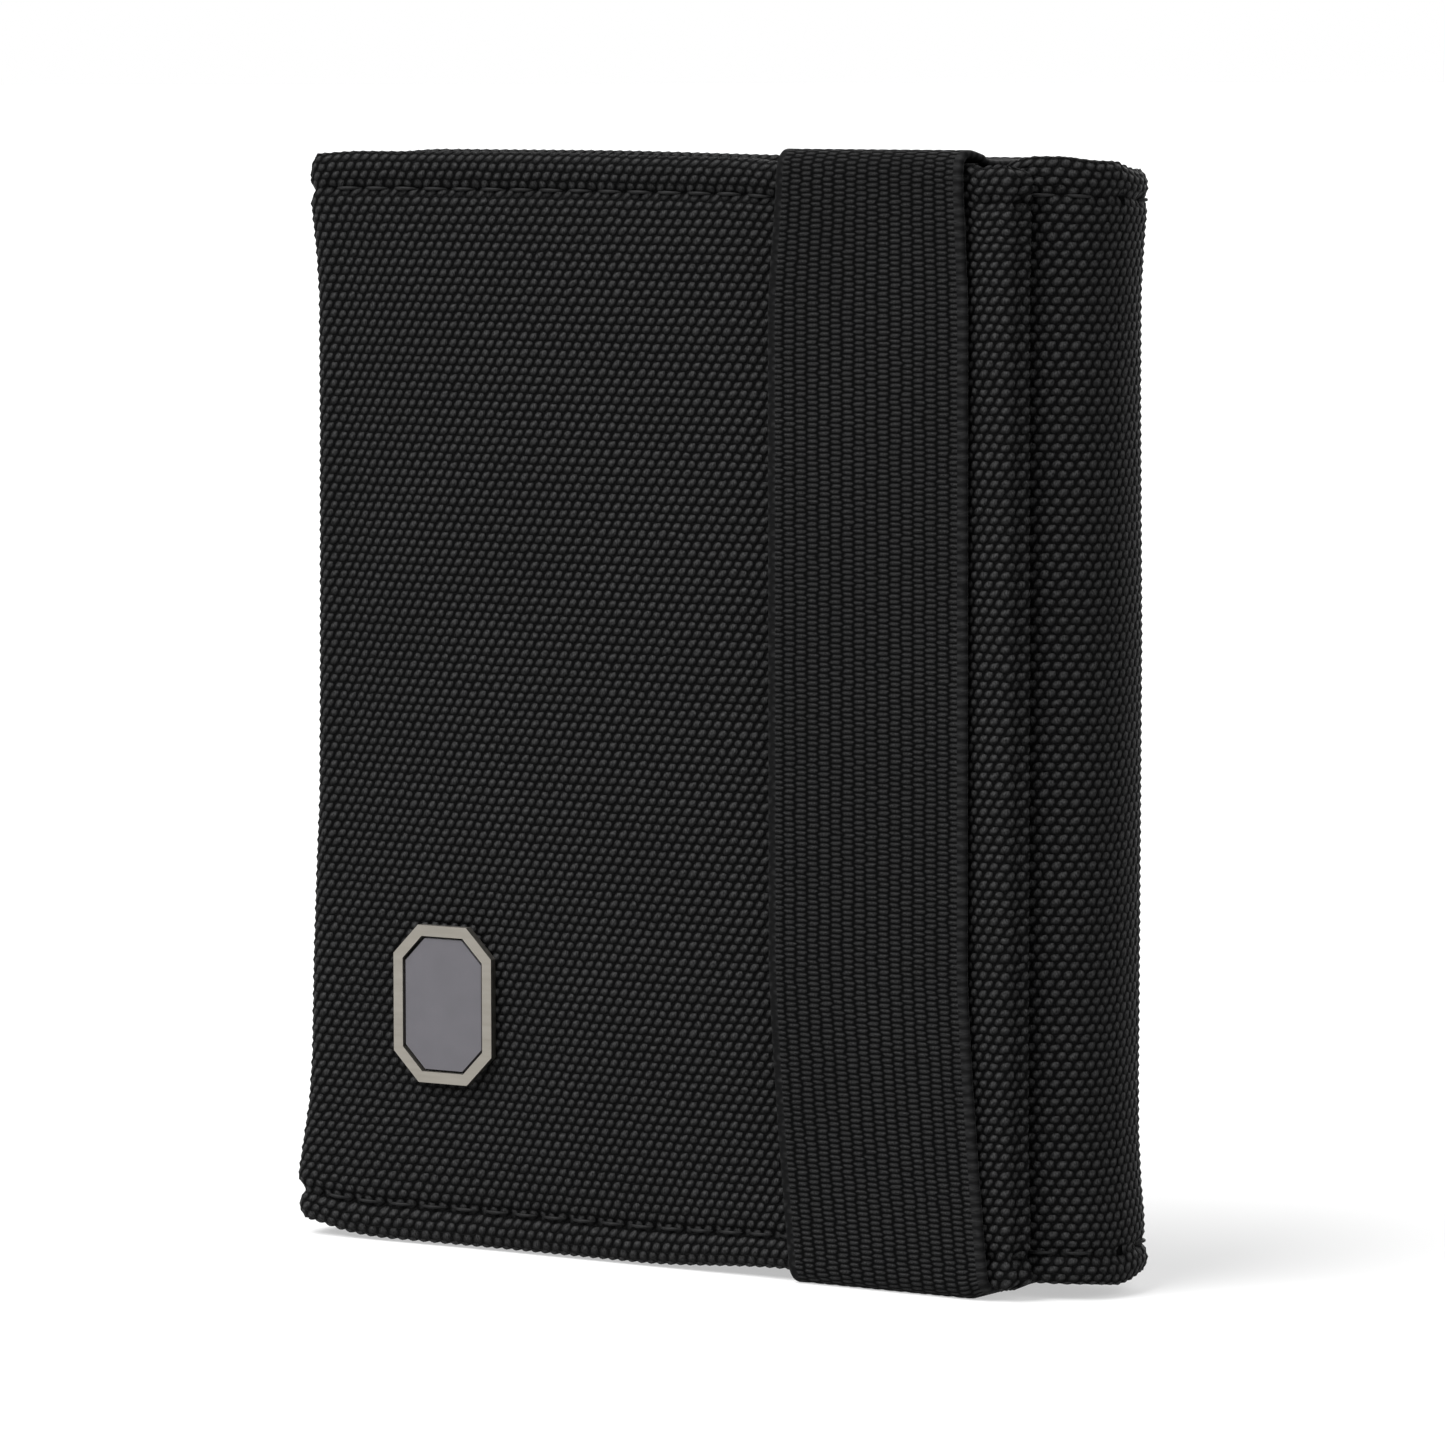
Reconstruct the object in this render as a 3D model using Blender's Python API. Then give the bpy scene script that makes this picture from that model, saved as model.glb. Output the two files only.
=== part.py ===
"""Tri-fold passport wallet, closed and standing on its bottom edge.

Seen from the front (-Y), the back panel lies at the back (+Y). A front flap folds over it from the
left and a narrower inner flap folds in from the right, underneath the front flap. Each fold is a
book spine: a flat strip of fabric with a rounded corner at both edges. An elastic band runs over
the front flap from the top edge to the bottom edge. Millimetres are written as number * MM.
"""
import math

import bmesh
import bpy
from mathutils import Matrix

MM = 0.001

# Overall size
WIDTH = 111.5 * MM
DEPTH = 22.2 * MM
PANEL_HEIGHT = 137.0 * MM
GAP = 0.3 * MM

# Elastic band
BAND_WIDTH = 28.0 * MM
BAND_THICKNESS = 1.0 * MM
BAND_CENTRE_X = 29.2 * MM
TAIL_THICKNESS = 0.6 * MM
TAIL_LENGTH = 13.0 * MM
BAND_HINGE_Y = 7.6 * MM
BAND_CORNER = 1.5 * MM

# Folds
LEFT_RADIUS = 3.0 * MM
RIGHT_RADIUS = 5.0 * MM
SPINE_LINING = 0.4 * MM
INNER_FLAP_WIDTH = 57.0 * MM
FRONT_FLAP_EDGE_X = 48.5 * MM

# Layers from the back to the front, each followed by one gap
BACK_LAYERS = {
    "back_shell": 0.8 * MM, "back_stiffener": 0.7 * MM, "rfid_shield": 0.25 * MM,
    "back_lining": 0.4 * MM, "passport_gusset": 4.55 * MM, "passport_divider": 0.4 * MM,
    "coin_gusset": 2.0 * MM, "coin_pouch_wall": 0.6 * MM,
}
INNER_LAYERS = {
    "card_slot_short": 0.3 * MM, "card_slot_middle": 0.3 * MM, "card_slot_tall": 0.3 * MM,
    "inner_lining": 0.4 * MM, "inner_stiffener": 0.5 * MM, "inner_shell": 0.7 * MM,
}
FRONT_LAYERS = {
    "front_slip_pocket": 0.35 * MM, "front_lining": 0.4 * MM, "front_stiffener": 1.15 * MM,
    "front_shell": 0.8 * MM,
}
TURNED_EDGE = 0.8 * MM
PANEL_CORNER = 2.0 * MM

# Pockets
GUSSET_STRIP = 4.5 * MM
COIN_STRIP = 3.0 * MM
POCKET_MARGIN = 1.2 * MM
THUMB_NOTCH = 11.0 * MM
CARD_SLOT_TOPS = {"card_slot_tall": 112.0 * MM, "card_slot_middle": 92.0 * MM,
                  "card_slot_short": 72.0 * MM}

# Zip of the coin pouch
ZIP_X = -30.0 * MM
ZIP_BOTTOM = 18.0 * MM
ZIP_TOP = 120.0 * MM
ZIP_OPENING = 6.0 * MM
COIL_WIDTH = 1.55 * MM
COIL_SLOT = 1.3 * MM
COIL_THICKNESS = 0.9 * MM
TOOTH_PITCH = 1.6 * MM
TOOTH_LENGTH = 0.55 * MM
TAPE_WIDTH = 5.5 * MM
TAPE_THICKNESS = 0.3 * MM
SLIDER_Z = 112.0 * MM
PULL_LENGTH = 17.0 * MM

# Badge on the front flap
BADGE_X = -34.0 * MM
BADGE_Z = 31.0 * MM
BADGE_WIDTH = 15.0 * MM
BADGE_HEIGHT = 20.0 * MM
BADGE_RIM = 1.4 * MM
BADGE_CORNER = 3.8 * MM
PRONG_SPACING = 9.0 * MM
PRONG_RADIUS = 0.6 * MM

# Heights and faces worked out from the sizes above
PANEL_BOTTOM = BAND_THICKNESS + GAP
PANEL_TOP = PANEL_BOTTOM + PANEL_HEIGHT
BAND_TOP = PANEL_TOP + GAP + BAND_THICKNESS
BACK_FACE = DEPTH / 2 - TAIL_THICKNESS - GAP
LEFT_HINGE_X = -WIDTH / 2 + LEFT_RADIUS + GAP / 2
RIGHT_HINGE_X = WIDTH / 2 - RIGHT_RADIUS - GAP / 2
PANEL_LEFT = LEFT_HINGE_X + GAP / 2
PANEL_RIGHT = RIGHT_HINGE_X - GAP / 2

COLOURS = {
    "ballistic_fabric": ((0.016, 0.016, 0.017), 0.75, 0.0),
    "elastic": ((0.022, 0.022, 0.024), 0.8, 0.0),
    "lining_fabric": ((0.03, 0.03, 0.033), 0.6, 0.0),
    "stiffener_board": ((0.18, 0.17, 0.16), 0.9, 0.0),
    "rfid_foil": ((0.55, 0.56, 0.58), 0.35, 0.9),
    "zip_tape": ((0.02, 0.02, 0.022), 0.8, 0.0),
    "zip_coil": ((0.03, 0.03, 0.03), 0.4, 0.0),
    "zip_metal": ((0.25, 0.25, 0.26), 0.3, 1.0),
    "badge_metal": ((0.52, 0.48, 0.42), 0.35, 1.0),
    "badge_enamel": ((0.17, 0.15, 0.18), 0.35, 0.0),
}


def stack_layers():
    """Give each layer's (front, back) Y, counted forwards from the back face."""
    faces, y = {}, BACK_FACE
    for layers in (BACK_LAYERS, INNER_LAYERS, FRONT_LAYERS):
        for name, thickness in layers.items():
            faces[name] = (y - thickness, y)
            y -= thickness + GAP
    return faces


LAYER = stack_layers()
FRONT_FACE = LAYER["front_shell"][0]
INNER_FACE = LAYER["inner_shell"][0]


def clear_scene():
    for thing in list(bpy.data.objects):
        bpy.data.objects.remove(thing, do_unlink=True)


def new_collection(name):
    collection = bpy.data.collections.new(name)
    bpy.context.scene.collection.children.link(collection)
    return collection


def material(slot):
    """Give the Principled material of one slot, made on its first use."""
    found = bpy.data.materials.get(slot)
    if found:
        return found
    colour, roughness, metallic = COLOURS[slot]
    made = bpy.data.materials.new(slot)
    made.use_nodes = True
    shader = made.node_tree.nodes["Principled BSDF"]
    shader.inputs["Base Color"].default_value = (*colour, 1.0)
    shader.inputs["Roughness"].default_value = roughness
    shader.inputs["Metallic"].default_value = metallic
    made.diffuse_color = (*colour, 1.0)
    return made


def pivot(name, x, y, z, parent=None):
    """Put an empty on a joint's axis, for the pieces of one moving body."""
    empty = bpy.data.objects.new(name, None)
    empty.empty_display_size = 0.01
    PARTS.objects.link(empty)
    empty.parent = parent
    place(empty, (x, y, z))
    return empty


def place(thing, point):
    """Set a world position as the location under the parent; no pivot is turned at rest."""
    base = world_origin(thing.parent)
    thing.location = [value - start for value, start in zip(point, base)]


def world_origin(thing):
    point = [0.0, 0.0, 0.0]
    while thing:
        point = [a + b for a, b in zip(point, thing.location)]
        thing = thing.parent
    return point


def add_part(name, data, slot, centre, parent=None, collection=None):
    part = bpy.data.objects.new(name, data)
    (collection or PARTS).objects.link(part)
    part.parent = parent
    place(part, centre)
    if slot:
        data.materials.append(material(slot))
    return part


def block_mesh(name, x, y, z, corner=0.0, rounded=(-1, 1)):
    """A plate facing Y whose corners are rounded at the X ends listed in rounded."""
    mesh = bpy.data.meshes.new(name)
    form = bmesh.new()
    bmesh.ops.create_cube(form, size=1.0)
    bmesh.ops.scale(form, vec=(x[1] - x[0], y[1] - y[0], z[1] - z[0]), verts=form.verts)
    if corner:
        ends = [edge for edge in form.edges
                if abs(edge.verts[0].co.y - edge.verts[1].co.y) > 0.9 * (y[1] - y[0])
                and math.copysign(1, edge.verts[0].co.x) in rounded]
        bmesh.ops.bevel(form, geom=ends, offset=corner, segments=4, profile=0.5, affect="EDGES")
    form.to_mesh(mesh)
    form.free()
    return mesh


def middle(*spans):
    return tuple((low + high) / 2 for low, high in spans)


def plate(name, x, y, z, slot, parent=None, corner=0.0, rounded=(-1, 1)):
    mesh = block_mesh(name, x, y, z, corner, rounded)
    return add_part(name, mesh, slot, middle(x, y, z), parent)


def hide_cutter(cutter):
    cutter.hide_render = True
    cutter.display_type = "WIRE"


def box_cutter(name, x, y, z, parent=None, corner=0.0, rounded=(-1, 1)):
    mesh = block_mesh(name, x, y, z, corner, rounded)
    cutter = add_part(name, mesh, None, middle(x, y, z), parent, CUTTERS)
    hide_cutter(cutter)
    return cutter


def rod_mesh(name, radius, length, sides=24):
    """A round rod along Y."""
    mesh = bpy.data.meshes.new(name)
    form = bmesh.new()
    bmesh.ops.create_cone(form, cap_ends=True, segments=sides, radius1=radius, radius2=radius,
                          depth=length, matrix=Matrix.Rotation(math.pi / 2, 4, "X"))
    form.to_mesh(mesh)
    form.free()
    return mesh


def rod_tool(name, radius, centre, length, parent=None):
    tool = add_part(name, rod_mesh(name, radius, length), None, centre, parent, CUTTERS)
    hide_cutter(tool)
    return tool


def boolean(part, tool, operation="DIFFERENCE"):
    change = part.modifiers.new(tool.name, "BOOLEAN")
    change.operation = operation
    change.object = tool
    change.solver = "EXACT"


def outline_part(name, outlines, span, along, slot, parent=None):
    """Extrude closed outlines, the first the outside and the rest holes, along X, Y or Z.

    The outline's two numbers are (Y, Z) along X, (X, Z) along Y and (X, Y) along Z.
    """
    curve = bpy.data.curves.new(name, "CURVE")
    curve.dimensions = "2D"
    curve.fill_mode = "BOTH"
    curve.extrude = (span[1] - span[0]) / 2
    for points in outlines:
        line = curve.splines.new("POLY")
        line.points.add(len(points) - 1)
        for spot, (u, v) in zip(line.points, points):
            spot.co = (u, v, 0.0, 1.0)
        line.use_cyclic_u = True
    half = (span[0] + span[1]) / 2
    centre = {"X": (half, 0, 0), "Y": (0, half, 0), "Z": (0, 0, half)}[along]
    part = add_part(name, curve, slot, centre, parent)
    part.rotation_euler = {"X": (math.pi / 2, 0, math.pi / 2), "Y": (math.pi / 2, 0, 0),
                           "Z": (0, 0, 0)}[along]
    return part


def arc(centre_u, centre_v, radius, start, end, steps=6):
    """Points on an arc, the angles in degrees."""
    turns = [math.radians(start + (end - start) * step / steps) for step in range(steps + 1)]
    return [(centre_u + radius * math.cos(turn), centre_v + radius * math.sin(turn))
            for turn in turns]


def frame_outline(x, z, width):
    """The outline of a flat frame and of the hole in it."""
    def corners(inset):
        return [(x[0] + inset, z[0] + inset), (x[1] - inset, z[0] + inset),
                (x[1] - inset, z[1] - inset), (x[0] + inset, z[1] - inset)]
    return [corners(0.0), corners(width)]


def chamfered(width, height, corner, centre_x, centre_z):
    """An upright octagon."""
    x, z = width / 2, height / 2
    points = [(-x, -z + corner), (-x + corner, -z), (x - corner, -z), (x, -z + corner),
              (x, z - corner), (x - corner, z), (-x + corner, z), (-x, z - corner)]
    return [(centre_x + u, centre_z + v) for u, v in points]


def turned_shell(name, x, layer, lining, parent, open_sides, corner=0.0, rounded=(-1, 1)):
    """An outer fabric plate whose edges turn round the layers inside it, up to the lining."""
    outer, inner = sorted((LAYER[layer], LAYER[lining]), key=lambda face: abs(face[0]))[::-1]
    low, high = min(outer[0], inner[0]), max(outer[1], inner[1])
    z = (PANEL_BOTTOM, PANEL_TOP)
    shell = plate(name, x, (low, high), z, "ballistic_fabric", parent, corner, rounded)
    inside = [LAYER[layer][1], high + GAP] if LAYER[layer][0] == low else [low - GAP, LAYER[layer][0]]
    left = x[0] - GAP if "left" in open_sides else x[0] + TURNED_EDGE
    right = x[1] + GAP if "right" in open_sides else x[1] - TURNED_EDGE
    boolean(shell, box_cutter(name + "_hollow", (left, right), inside,
                              (z[0] + TURNED_EDGE, z[1] - TURNED_EDGE), parent))
    return shell


def inner_sheet(name, x, slot, parent, top=PANEL_TOP, inset=TURNED_EDGE + GAP):
    """A layer that lies inside a turned shell or over its lining."""
    return plate(name, x, LAYER[name], (PANEL_BOTTOM + inset, min(top, PANEL_TOP - inset)),
                 slot, parent)


def spine(name, side, radius, front, parent):
    """The outer strip of one fold, round at both edges, and its lining; side is -1 or 1."""
    inner = radius - BACK_LAYERS["back_shell"]
    fold_x = WIDTH / 2 - radius
    back_y, front_y = BACK_FACE - radius, front + radius
    outer_line = arc(fold_x, back_y, radius, 90, 0) + arc(fold_x, front_y, radius, 0, -90)
    inner_line = arc(fold_x, front_y, inner, -90, 0) + arc(fold_x, back_y, inner, 0, 90)
    points = [(side * x, y) for x, y in outer_line + inner_line]
    strip = outline_part(name + "_shell", [points], (PANEL_BOTTOM, PANEL_TOP), "Z",
                         "ballistic_fabric", parent)
    place(strip, (0, 0, (PANEL_BOTTOM + PANEL_TOP) / 2))
    face = fold_x + inner - GAP
    x = sorted((side * face, side * (face - SPINE_LINING)))
    plate(name + "_lining", x, (front_y, back_y), (PANEL_BOTTOM + TURNED_EDGE, PANEL_TOP - TURNED_EDGE),
          "lining_fabric", parent)


def make_back_panel():
    x = (PANEL_LEFT, PANEL_RIGHT)
    inside = (PANEL_LEFT + POCKET_MARGIN, PANEL_RIGHT - POCKET_MARGIN)
    turned_shell("back_shell", x, "back_shell", "back_lining", None, ("left", "right"))
    for name, slot in (("back_stiffener", "stiffener_board"), ("rfid_shield", "rfid_foil"),
                       ("back_lining", "lining_fabric")):
        inner_sheet(name, inside, slot, None)
    low, high = PANEL_BOTTOM + POCKET_MARGIN, PANEL_TOP - POCKET_MARGIN
    left, right = inside
    strip = GUSSET_STRIP
    gusset = [(left, low), (right, low), (right, high), (right - strip, high),
              (right - strip, low + strip), (left + strip, low + strip), (left + strip, high),
              (left, high)]
    outline_part("passport_gusset", [gusset], LAYER["passport_gusset"], "Y", "lining_fabric")
    divider = plate("passport_divider", inside, LAYER["passport_divider"], (low, high), "lining_fabric")
    notch_y = sum(LAYER["passport_divider"]) / 2
    boolean(divider, rod_tool("thumb_notch", THUMB_NOTCH, (0, notch_y, high), 4 * GAP))
    outline_part("coin_gusset", frame_outline(inside, (low, high), COIN_STRIP),
                 LAYER["coin_gusset"], "Y", "lining_fabric")
    wall = plate("coin_pouch_wall", inside, LAYER["coin_pouch_wall"], (low, high), "lining_fabric")
    front, back = LAYER["coin_pouch_wall"]
    half = ZIP_OPENING / 2
    boolean(wall, box_cutter("zip_opening", (ZIP_X - half, ZIP_X + half), (front - GAP, back + GAP),
                             (ZIP_BOTTOM, ZIP_TOP)))


def comb_mesh(name, side, thickness):
    """One side of the zip's coil: a strip with a row of teeth towards the middle, facing Y."""
    inner = COIL_SLOT / 2
    root, edge = inner + TOOTH_LENGTH, inner + COIL_WIDTH
    low, high = ZIP_BOTTOM + 3.5 * MM, ZIP_TOP - 3.5 * MM
    levels = [low]
    for tooth in range(int((high - low) / TOOTH_PITCH)):
        levels += [low + (tooth + 0.55) * TOOTH_PITCH, low + (tooth + 1) * TOOTH_PITCH]
    form = bmesh.new()
    columns = [[form.verts.new((side * x, -thickness / 2, z)) for z in levels] for x in (edge, root)]
    for step in range(len(levels) - 1):
        form.faces.new([columns[0][step], columns[1][step], columns[1][step + 1], columns[0][step + 1]])
        if step % 2 == 0:
            tip = [form.verts.new((side * inner, -thickness / 2, levels[step + end])) for end in (0, 1)]
            form.faces.new([columns[1][step], tip[0], tip[1], columns[1][step + 1]])
    grown = bmesh.ops.extrude_face_region(form, geom=form.faces[:])["geom"]
    top = [part for part in grown if isinstance(part, bmesh.types.BMVert)]
    bmesh.ops.translate(form, vec=(0, thickness, 0), verts=top)
    bmesh.ops.recalc_face_normals(form, faces=form.faces)
    mesh = bpy.data.meshes.new(name)
    form.to_mesh(mesh)
    form.free()
    return mesh


def make_zip():
    wall_front = LAYER["coin_pouch_wall"][0]
    wall_back = LAYER["coin_pouch_wall"][1]
    coil = (wall_front, wall_front + COIL_THICKNESS)
    tape = (wall_back + GAP, wall_back + GAP + TAPE_THICKNESS)
    coil_edge = COIL_SLOT / 2 + COIL_WIDTH
    for side, name in ((-1, "left"), (1, "right")):
        mesh = comb_mesh("zip_coil_" + name, side, COIL_THICKNESS)
        add_part("zip_coil_" + name, mesh, "zip_coil", (ZIP_X, sum(coil) / 2, 0.0))
        near, far = coil_edge + GAP, coil_edge + GAP + TAPE_WIDTH
        x = sorted((ZIP_X + side * near, ZIP_X + side * far))
        plate("zip_tape_" + name, x, tape, (ZIP_BOTTOM - GUSSET_STRIP, ZIP_TOP + GUSSET_STRIP), "zip_tape")
    x = (ZIP_X - coil_edge, ZIP_X + coil_edge)
    plate("zip_bottom_stop", x, coil, (ZIP_BOTTOM + 0.8 * MM, ZIP_BOTTOM + 3.0 * MM), "zip_metal")
    plate("zip_top_stop", x, coil, (ZIP_TOP - 3.0 * MM, ZIP_TOP - 0.8 * MM), "zip_metal")


def make_slider():
    """The slider's two plates joined by a post between the coils, its bridge, and its pull."""
    wall_front = LAYER["coin_pouch_wall"][0]
    front_plate = (wall_front - GAP - 1.0 * MM, wall_front - GAP)
    coil_back = wall_front + COIL_THICKNESS
    back_plate = (coil_back + GAP, coil_back + GAP + 0.6 * MM)
    body = pivot("zip_slider_pivot", ZIP_X, front_plate[0], SLIDER_Z)
    z = (SLIDER_Z - 4.0 * MM, SLIDER_Z + 4.0 * MM)
    slider = plate("zip_slider", (ZIP_X - 3.2 * MM, ZIP_X + 3.2 * MM), front_plate, z, "zip_metal",
                   body, 1.2 * MM)
    overlap = 0.1 * MM
    back = box_cutter("slider_back", (ZIP_X - 2.2 * MM, ZIP_X + 2.2 * MM), back_plate, z, body, 1.0 * MM)
    post = box_cutter("slider_post", (ZIP_X - GAP, ZIP_X + GAP),
                      (front_plate[1] - overlap, back_plate[0] + overlap),
                      (SLIDER_Z - 1.5 * MM, SLIDER_Z + 1.5 * MM), body)
    bridge_y = (front_plate[0] - 2.3 * MM, front_plate[0] + overlap)
    bridge = box_cutter("slider_bridge", (ZIP_X - 0.7 * MM, ZIP_X + 0.7 * MM), bridge_y,
                        (SLIDER_Z - 1.8 * MM, SLIDER_Z + 1.8 * MM), body)
    eye_y = (front_plate[0] - 1.8 * MM, front_plate[0] - 0.3 * MM)
    eye = box_cutter("slider_eye", (ZIP_X - 1.5 * MM, ZIP_X + 1.5 * MM), eye_y,
                     (SLIDER_Z - 1.1 * MM, SLIDER_Z + 1.1 * MM), body)
    for tool in (post, back, bridge):
        boolean(slider, tool, "UNION")
    boolean(slider, eye)
    pull_y = (eye_y[0] + 0.35 * MM, eye_y[1] - 0.35 * MM)
    swing = pivot("zip_pull_pivot", ZIP_X, sum(pull_y) / 2, SLIDER_Z, body)
    bar = 0.5 * MM
    pull_z = (SLIDER_Z - PULL_LENGTH, SLIDER_Z + bar)
    pull = plate("zip_pull", (ZIP_X - 2.9 * MM, ZIP_X + 2.9 * MM), pull_y, pull_z, "zip_metal",
                 swing, 0.45 * MM)
    window = box_cutter("pull_window", (ZIP_X - 1.9 * MM, ZIP_X + 1.9 * MM),
                        (pull_y[0] - GAP, pull_y[1] + GAP),
                        (SLIDER_Z - 4.5 * MM, SLIDER_Z - bar), swing)
    boolean(pull, window)


def make_front_flap(parent):
    x = (PANEL_LEFT, FRONT_FLAP_EDGE_X)
    inside = (PANEL_LEFT + POCKET_MARGIN, FRONT_FLAP_EDGE_X - TURNED_EDGE - GAP)
    shell = turned_shell("front_shell", x, "front_shell", "front_lining", parent, ("left",),
                         PANEL_CORNER, (1,))
    stiffener = inner_sheet("front_stiffener", inside, "stiffener_board", parent)
    inner_sheet("front_lining", inside, "lining_fabric", parent)
    inner_sheet("front_slip_pocket", (x[0] + POCKET_MARGIN, x[1] - POCKET_MARGIN), "lining_fabric",
                parent, top=104.0 * MM)
    make_badge(parent, shell, stiffener)


def make_badge(parent, shell, stiffener):
    """A metal frame round an enamel field, held by a pronged plate behind the fabric."""
    face = (FRONT_FACE - GAP - 1.0 * MM, FRONT_FACE - GAP)
    rim = chamfered(BADGE_WIDTH, BADGE_HEIGHT, BADGE_CORNER, BADGE_X, BADGE_Z)
    hole = chamfered(BADGE_WIDTH - 2 * BADGE_RIM, BADGE_HEIGHT - 2 * BADGE_RIM,
                     BADGE_CORNER - 0.6 * BADGE_RIM, BADGE_X, BADGE_Z)
    outline_part("badge_frame", [rim, hole], face, "Y", "badge_metal", parent)
    inset = 2 * (BADGE_RIM + GAP)
    field = chamfered(BADGE_WIDTH - inset, BADGE_HEIGHT - inset, BADGE_CORNER - 0.6 * BADGE_RIM,
                      BADGE_X, BADGE_Z)
    outline_part("badge_enamel", [field], (face[0] + 0.25 * MM, face[1]), "Y", "badge_enamel", parent)
    shell_back = LAYER["front_shell"][1]
    plate_x = (BADGE_X - 5.0 * MM, BADGE_X + 5.0 * MM)
    plate_z = (BADGE_Z - 8.0 * MM, BADGE_Z + 8.0 * MM)
    plate_y = (shell_back + GAP, shell_back + GAP + 0.6 * MM)
    backplate = plate("badge_backplate", plate_x, plate_y, plate_z, "badge_metal", parent, 1.0 * MM)
    boolean(stiffener, box_cutter("backplate_recess", (plate_x[0] - GAP, plate_x[1] + GAP),
                                  (LAYER["front_stiffener"][0] - GAP, LAYER["front_stiffener"][1] + GAP),
                                  (plate_z[0] - GAP, plate_z[1] + GAP), parent))
    for side in (-1, 1):
        z = BADGE_Z + side * PRONG_SPACING / 2
        prong_y = (FRONT_FACE + 0.1 * MM, plate_y[0] + 0.1 * MM)
        name = "lower" if side < 0 else "upper"
        prong = rod_tool("prong_" + name, PRONG_RADIUS, (BADGE_X, sum(prong_y) / 2, z),
                         prong_y[1] - prong_y[0], parent)
        boolean(backplate, prong, "UNION")
        hole_y = (FRONT_FACE - GAP, shell_back + GAP)
        hole = rod_tool("prong_hole_" + name, PRONG_RADIUS + GAP, (BADGE_X, sum(hole_y) / 2, z),
                        hole_y[1] - hole_y[0], parent)
        boolean(shell, hole)


def make_inner_flap(parent):
    x = (PANEL_RIGHT - INNER_FLAP_WIDTH, PANEL_RIGHT)
    inside = (x[0] + TURNED_EDGE + GAP, PANEL_RIGHT - POCKET_MARGIN)
    turned_shell("inner_shell", x, "inner_shell", "inner_lining", parent, ("right",),
                 PANEL_CORNER, (-1,))
    inner_sheet("inner_stiffener", inside, "stiffener_board", parent)
    inner_sheet("inner_lining", inside, "lining_fabric", parent)
    for name, top in CARD_SLOT_TOPS.items():
        inner_sheet(name, (x[0] + POCKET_MARGIN, x[1] - POCKET_MARGIN), "lining_fabric", parent, top=top)


def make_band(parent):
    """The elastic: over the top edge, down the front and under the bottom edge."""
    outer, thin = BAND_CORNER, BAND_THICKNESS
    front, back = -DEPTH / 2, BACK_FACE
    inner = outer - thin
    outside = ([(back, BAND_TOP)] + arc(front + outer, BAND_TOP - outer, outer, 90, 180)
               + arc(front + outer, outer, outer, 180, 270) + [(back, 0.0)])
    inside = ([(back, thin)] + arc(front + outer, outer, inner, 270, 180)
              + arc(front + outer, BAND_TOP - outer, inner, 180, 90) + [(back, BAND_TOP - thin)])
    span = (BAND_CENTRE_X - BAND_WIDTH / 2, BAND_CENTRE_X + BAND_WIDTH / 2)
    band = outline_part("elastic_band", [outside + inside], span, "X", "elastic", parent)
    place(band, (BAND_CENTRE_X, 0, 0))


def make_band_tails():
    """The elastic's two ends, sewn flat on the back of the wallet."""
    x = (BAND_CENTRE_X - BAND_WIDTH / 2, BAND_CENTRE_X + BAND_WIDTH / 2)
    y = (BACK_FACE + GAP, DEPTH / 2)
    plate("band_tail_top", x, y, (BAND_TOP - TAIL_LENGTH, BAND_TOP), "elastic")
    plate("band_tail_bottom", x, y, (0.0, TAIL_LENGTH), "elastic")


def main():
    clear_scene()
    make_back_panel()
    make_zip()
    make_slider()
    make_band_tails()
    left = pivot("left_spine_pivot", LEFT_HINGE_X, BACK_FACE, PANEL_BOTTOM)
    spine("left_spine", -1, LEFT_RADIUS, FRONT_FACE, left)
    make_front_flap(pivot("front_flap_pivot", LEFT_HINGE_X, FRONT_FACE, PANEL_BOTTOM, left))
    right = pivot("right_spine_pivot", RIGHT_HINGE_X, BACK_FACE, PANEL_BOTTOM)
    spine("right_spine", 1, RIGHT_RADIUS, INNER_FACE, right)
    make_inner_flap(pivot("inner_flap_pivot", RIGHT_HINGE_X, INNER_FACE, PANEL_BOTTOM, right))
    make_band(pivot("band_pivot", BAND_CENTRE_X, BAND_HINGE_Y, PANEL_BOTTOM))


clear_scene()
PARTS = new_collection("passport_wallet")
CUTTERS = new_collection("cutters")
main()
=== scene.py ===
"""Looks of a tri-fold passport wallet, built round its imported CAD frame.

Lengths are in millimetres until a mesh is made. A cover is a sheet of woven fabric wrapped round
a panel: its path runs counter-clockwise in plan, and its profile runs up the outer face and turns
in over the top and bottom edges.
"""

import math
from functools import partial

import bmesh
import bpy
import numpy as np
from mathutils import Matrix, Vector, noise


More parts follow.
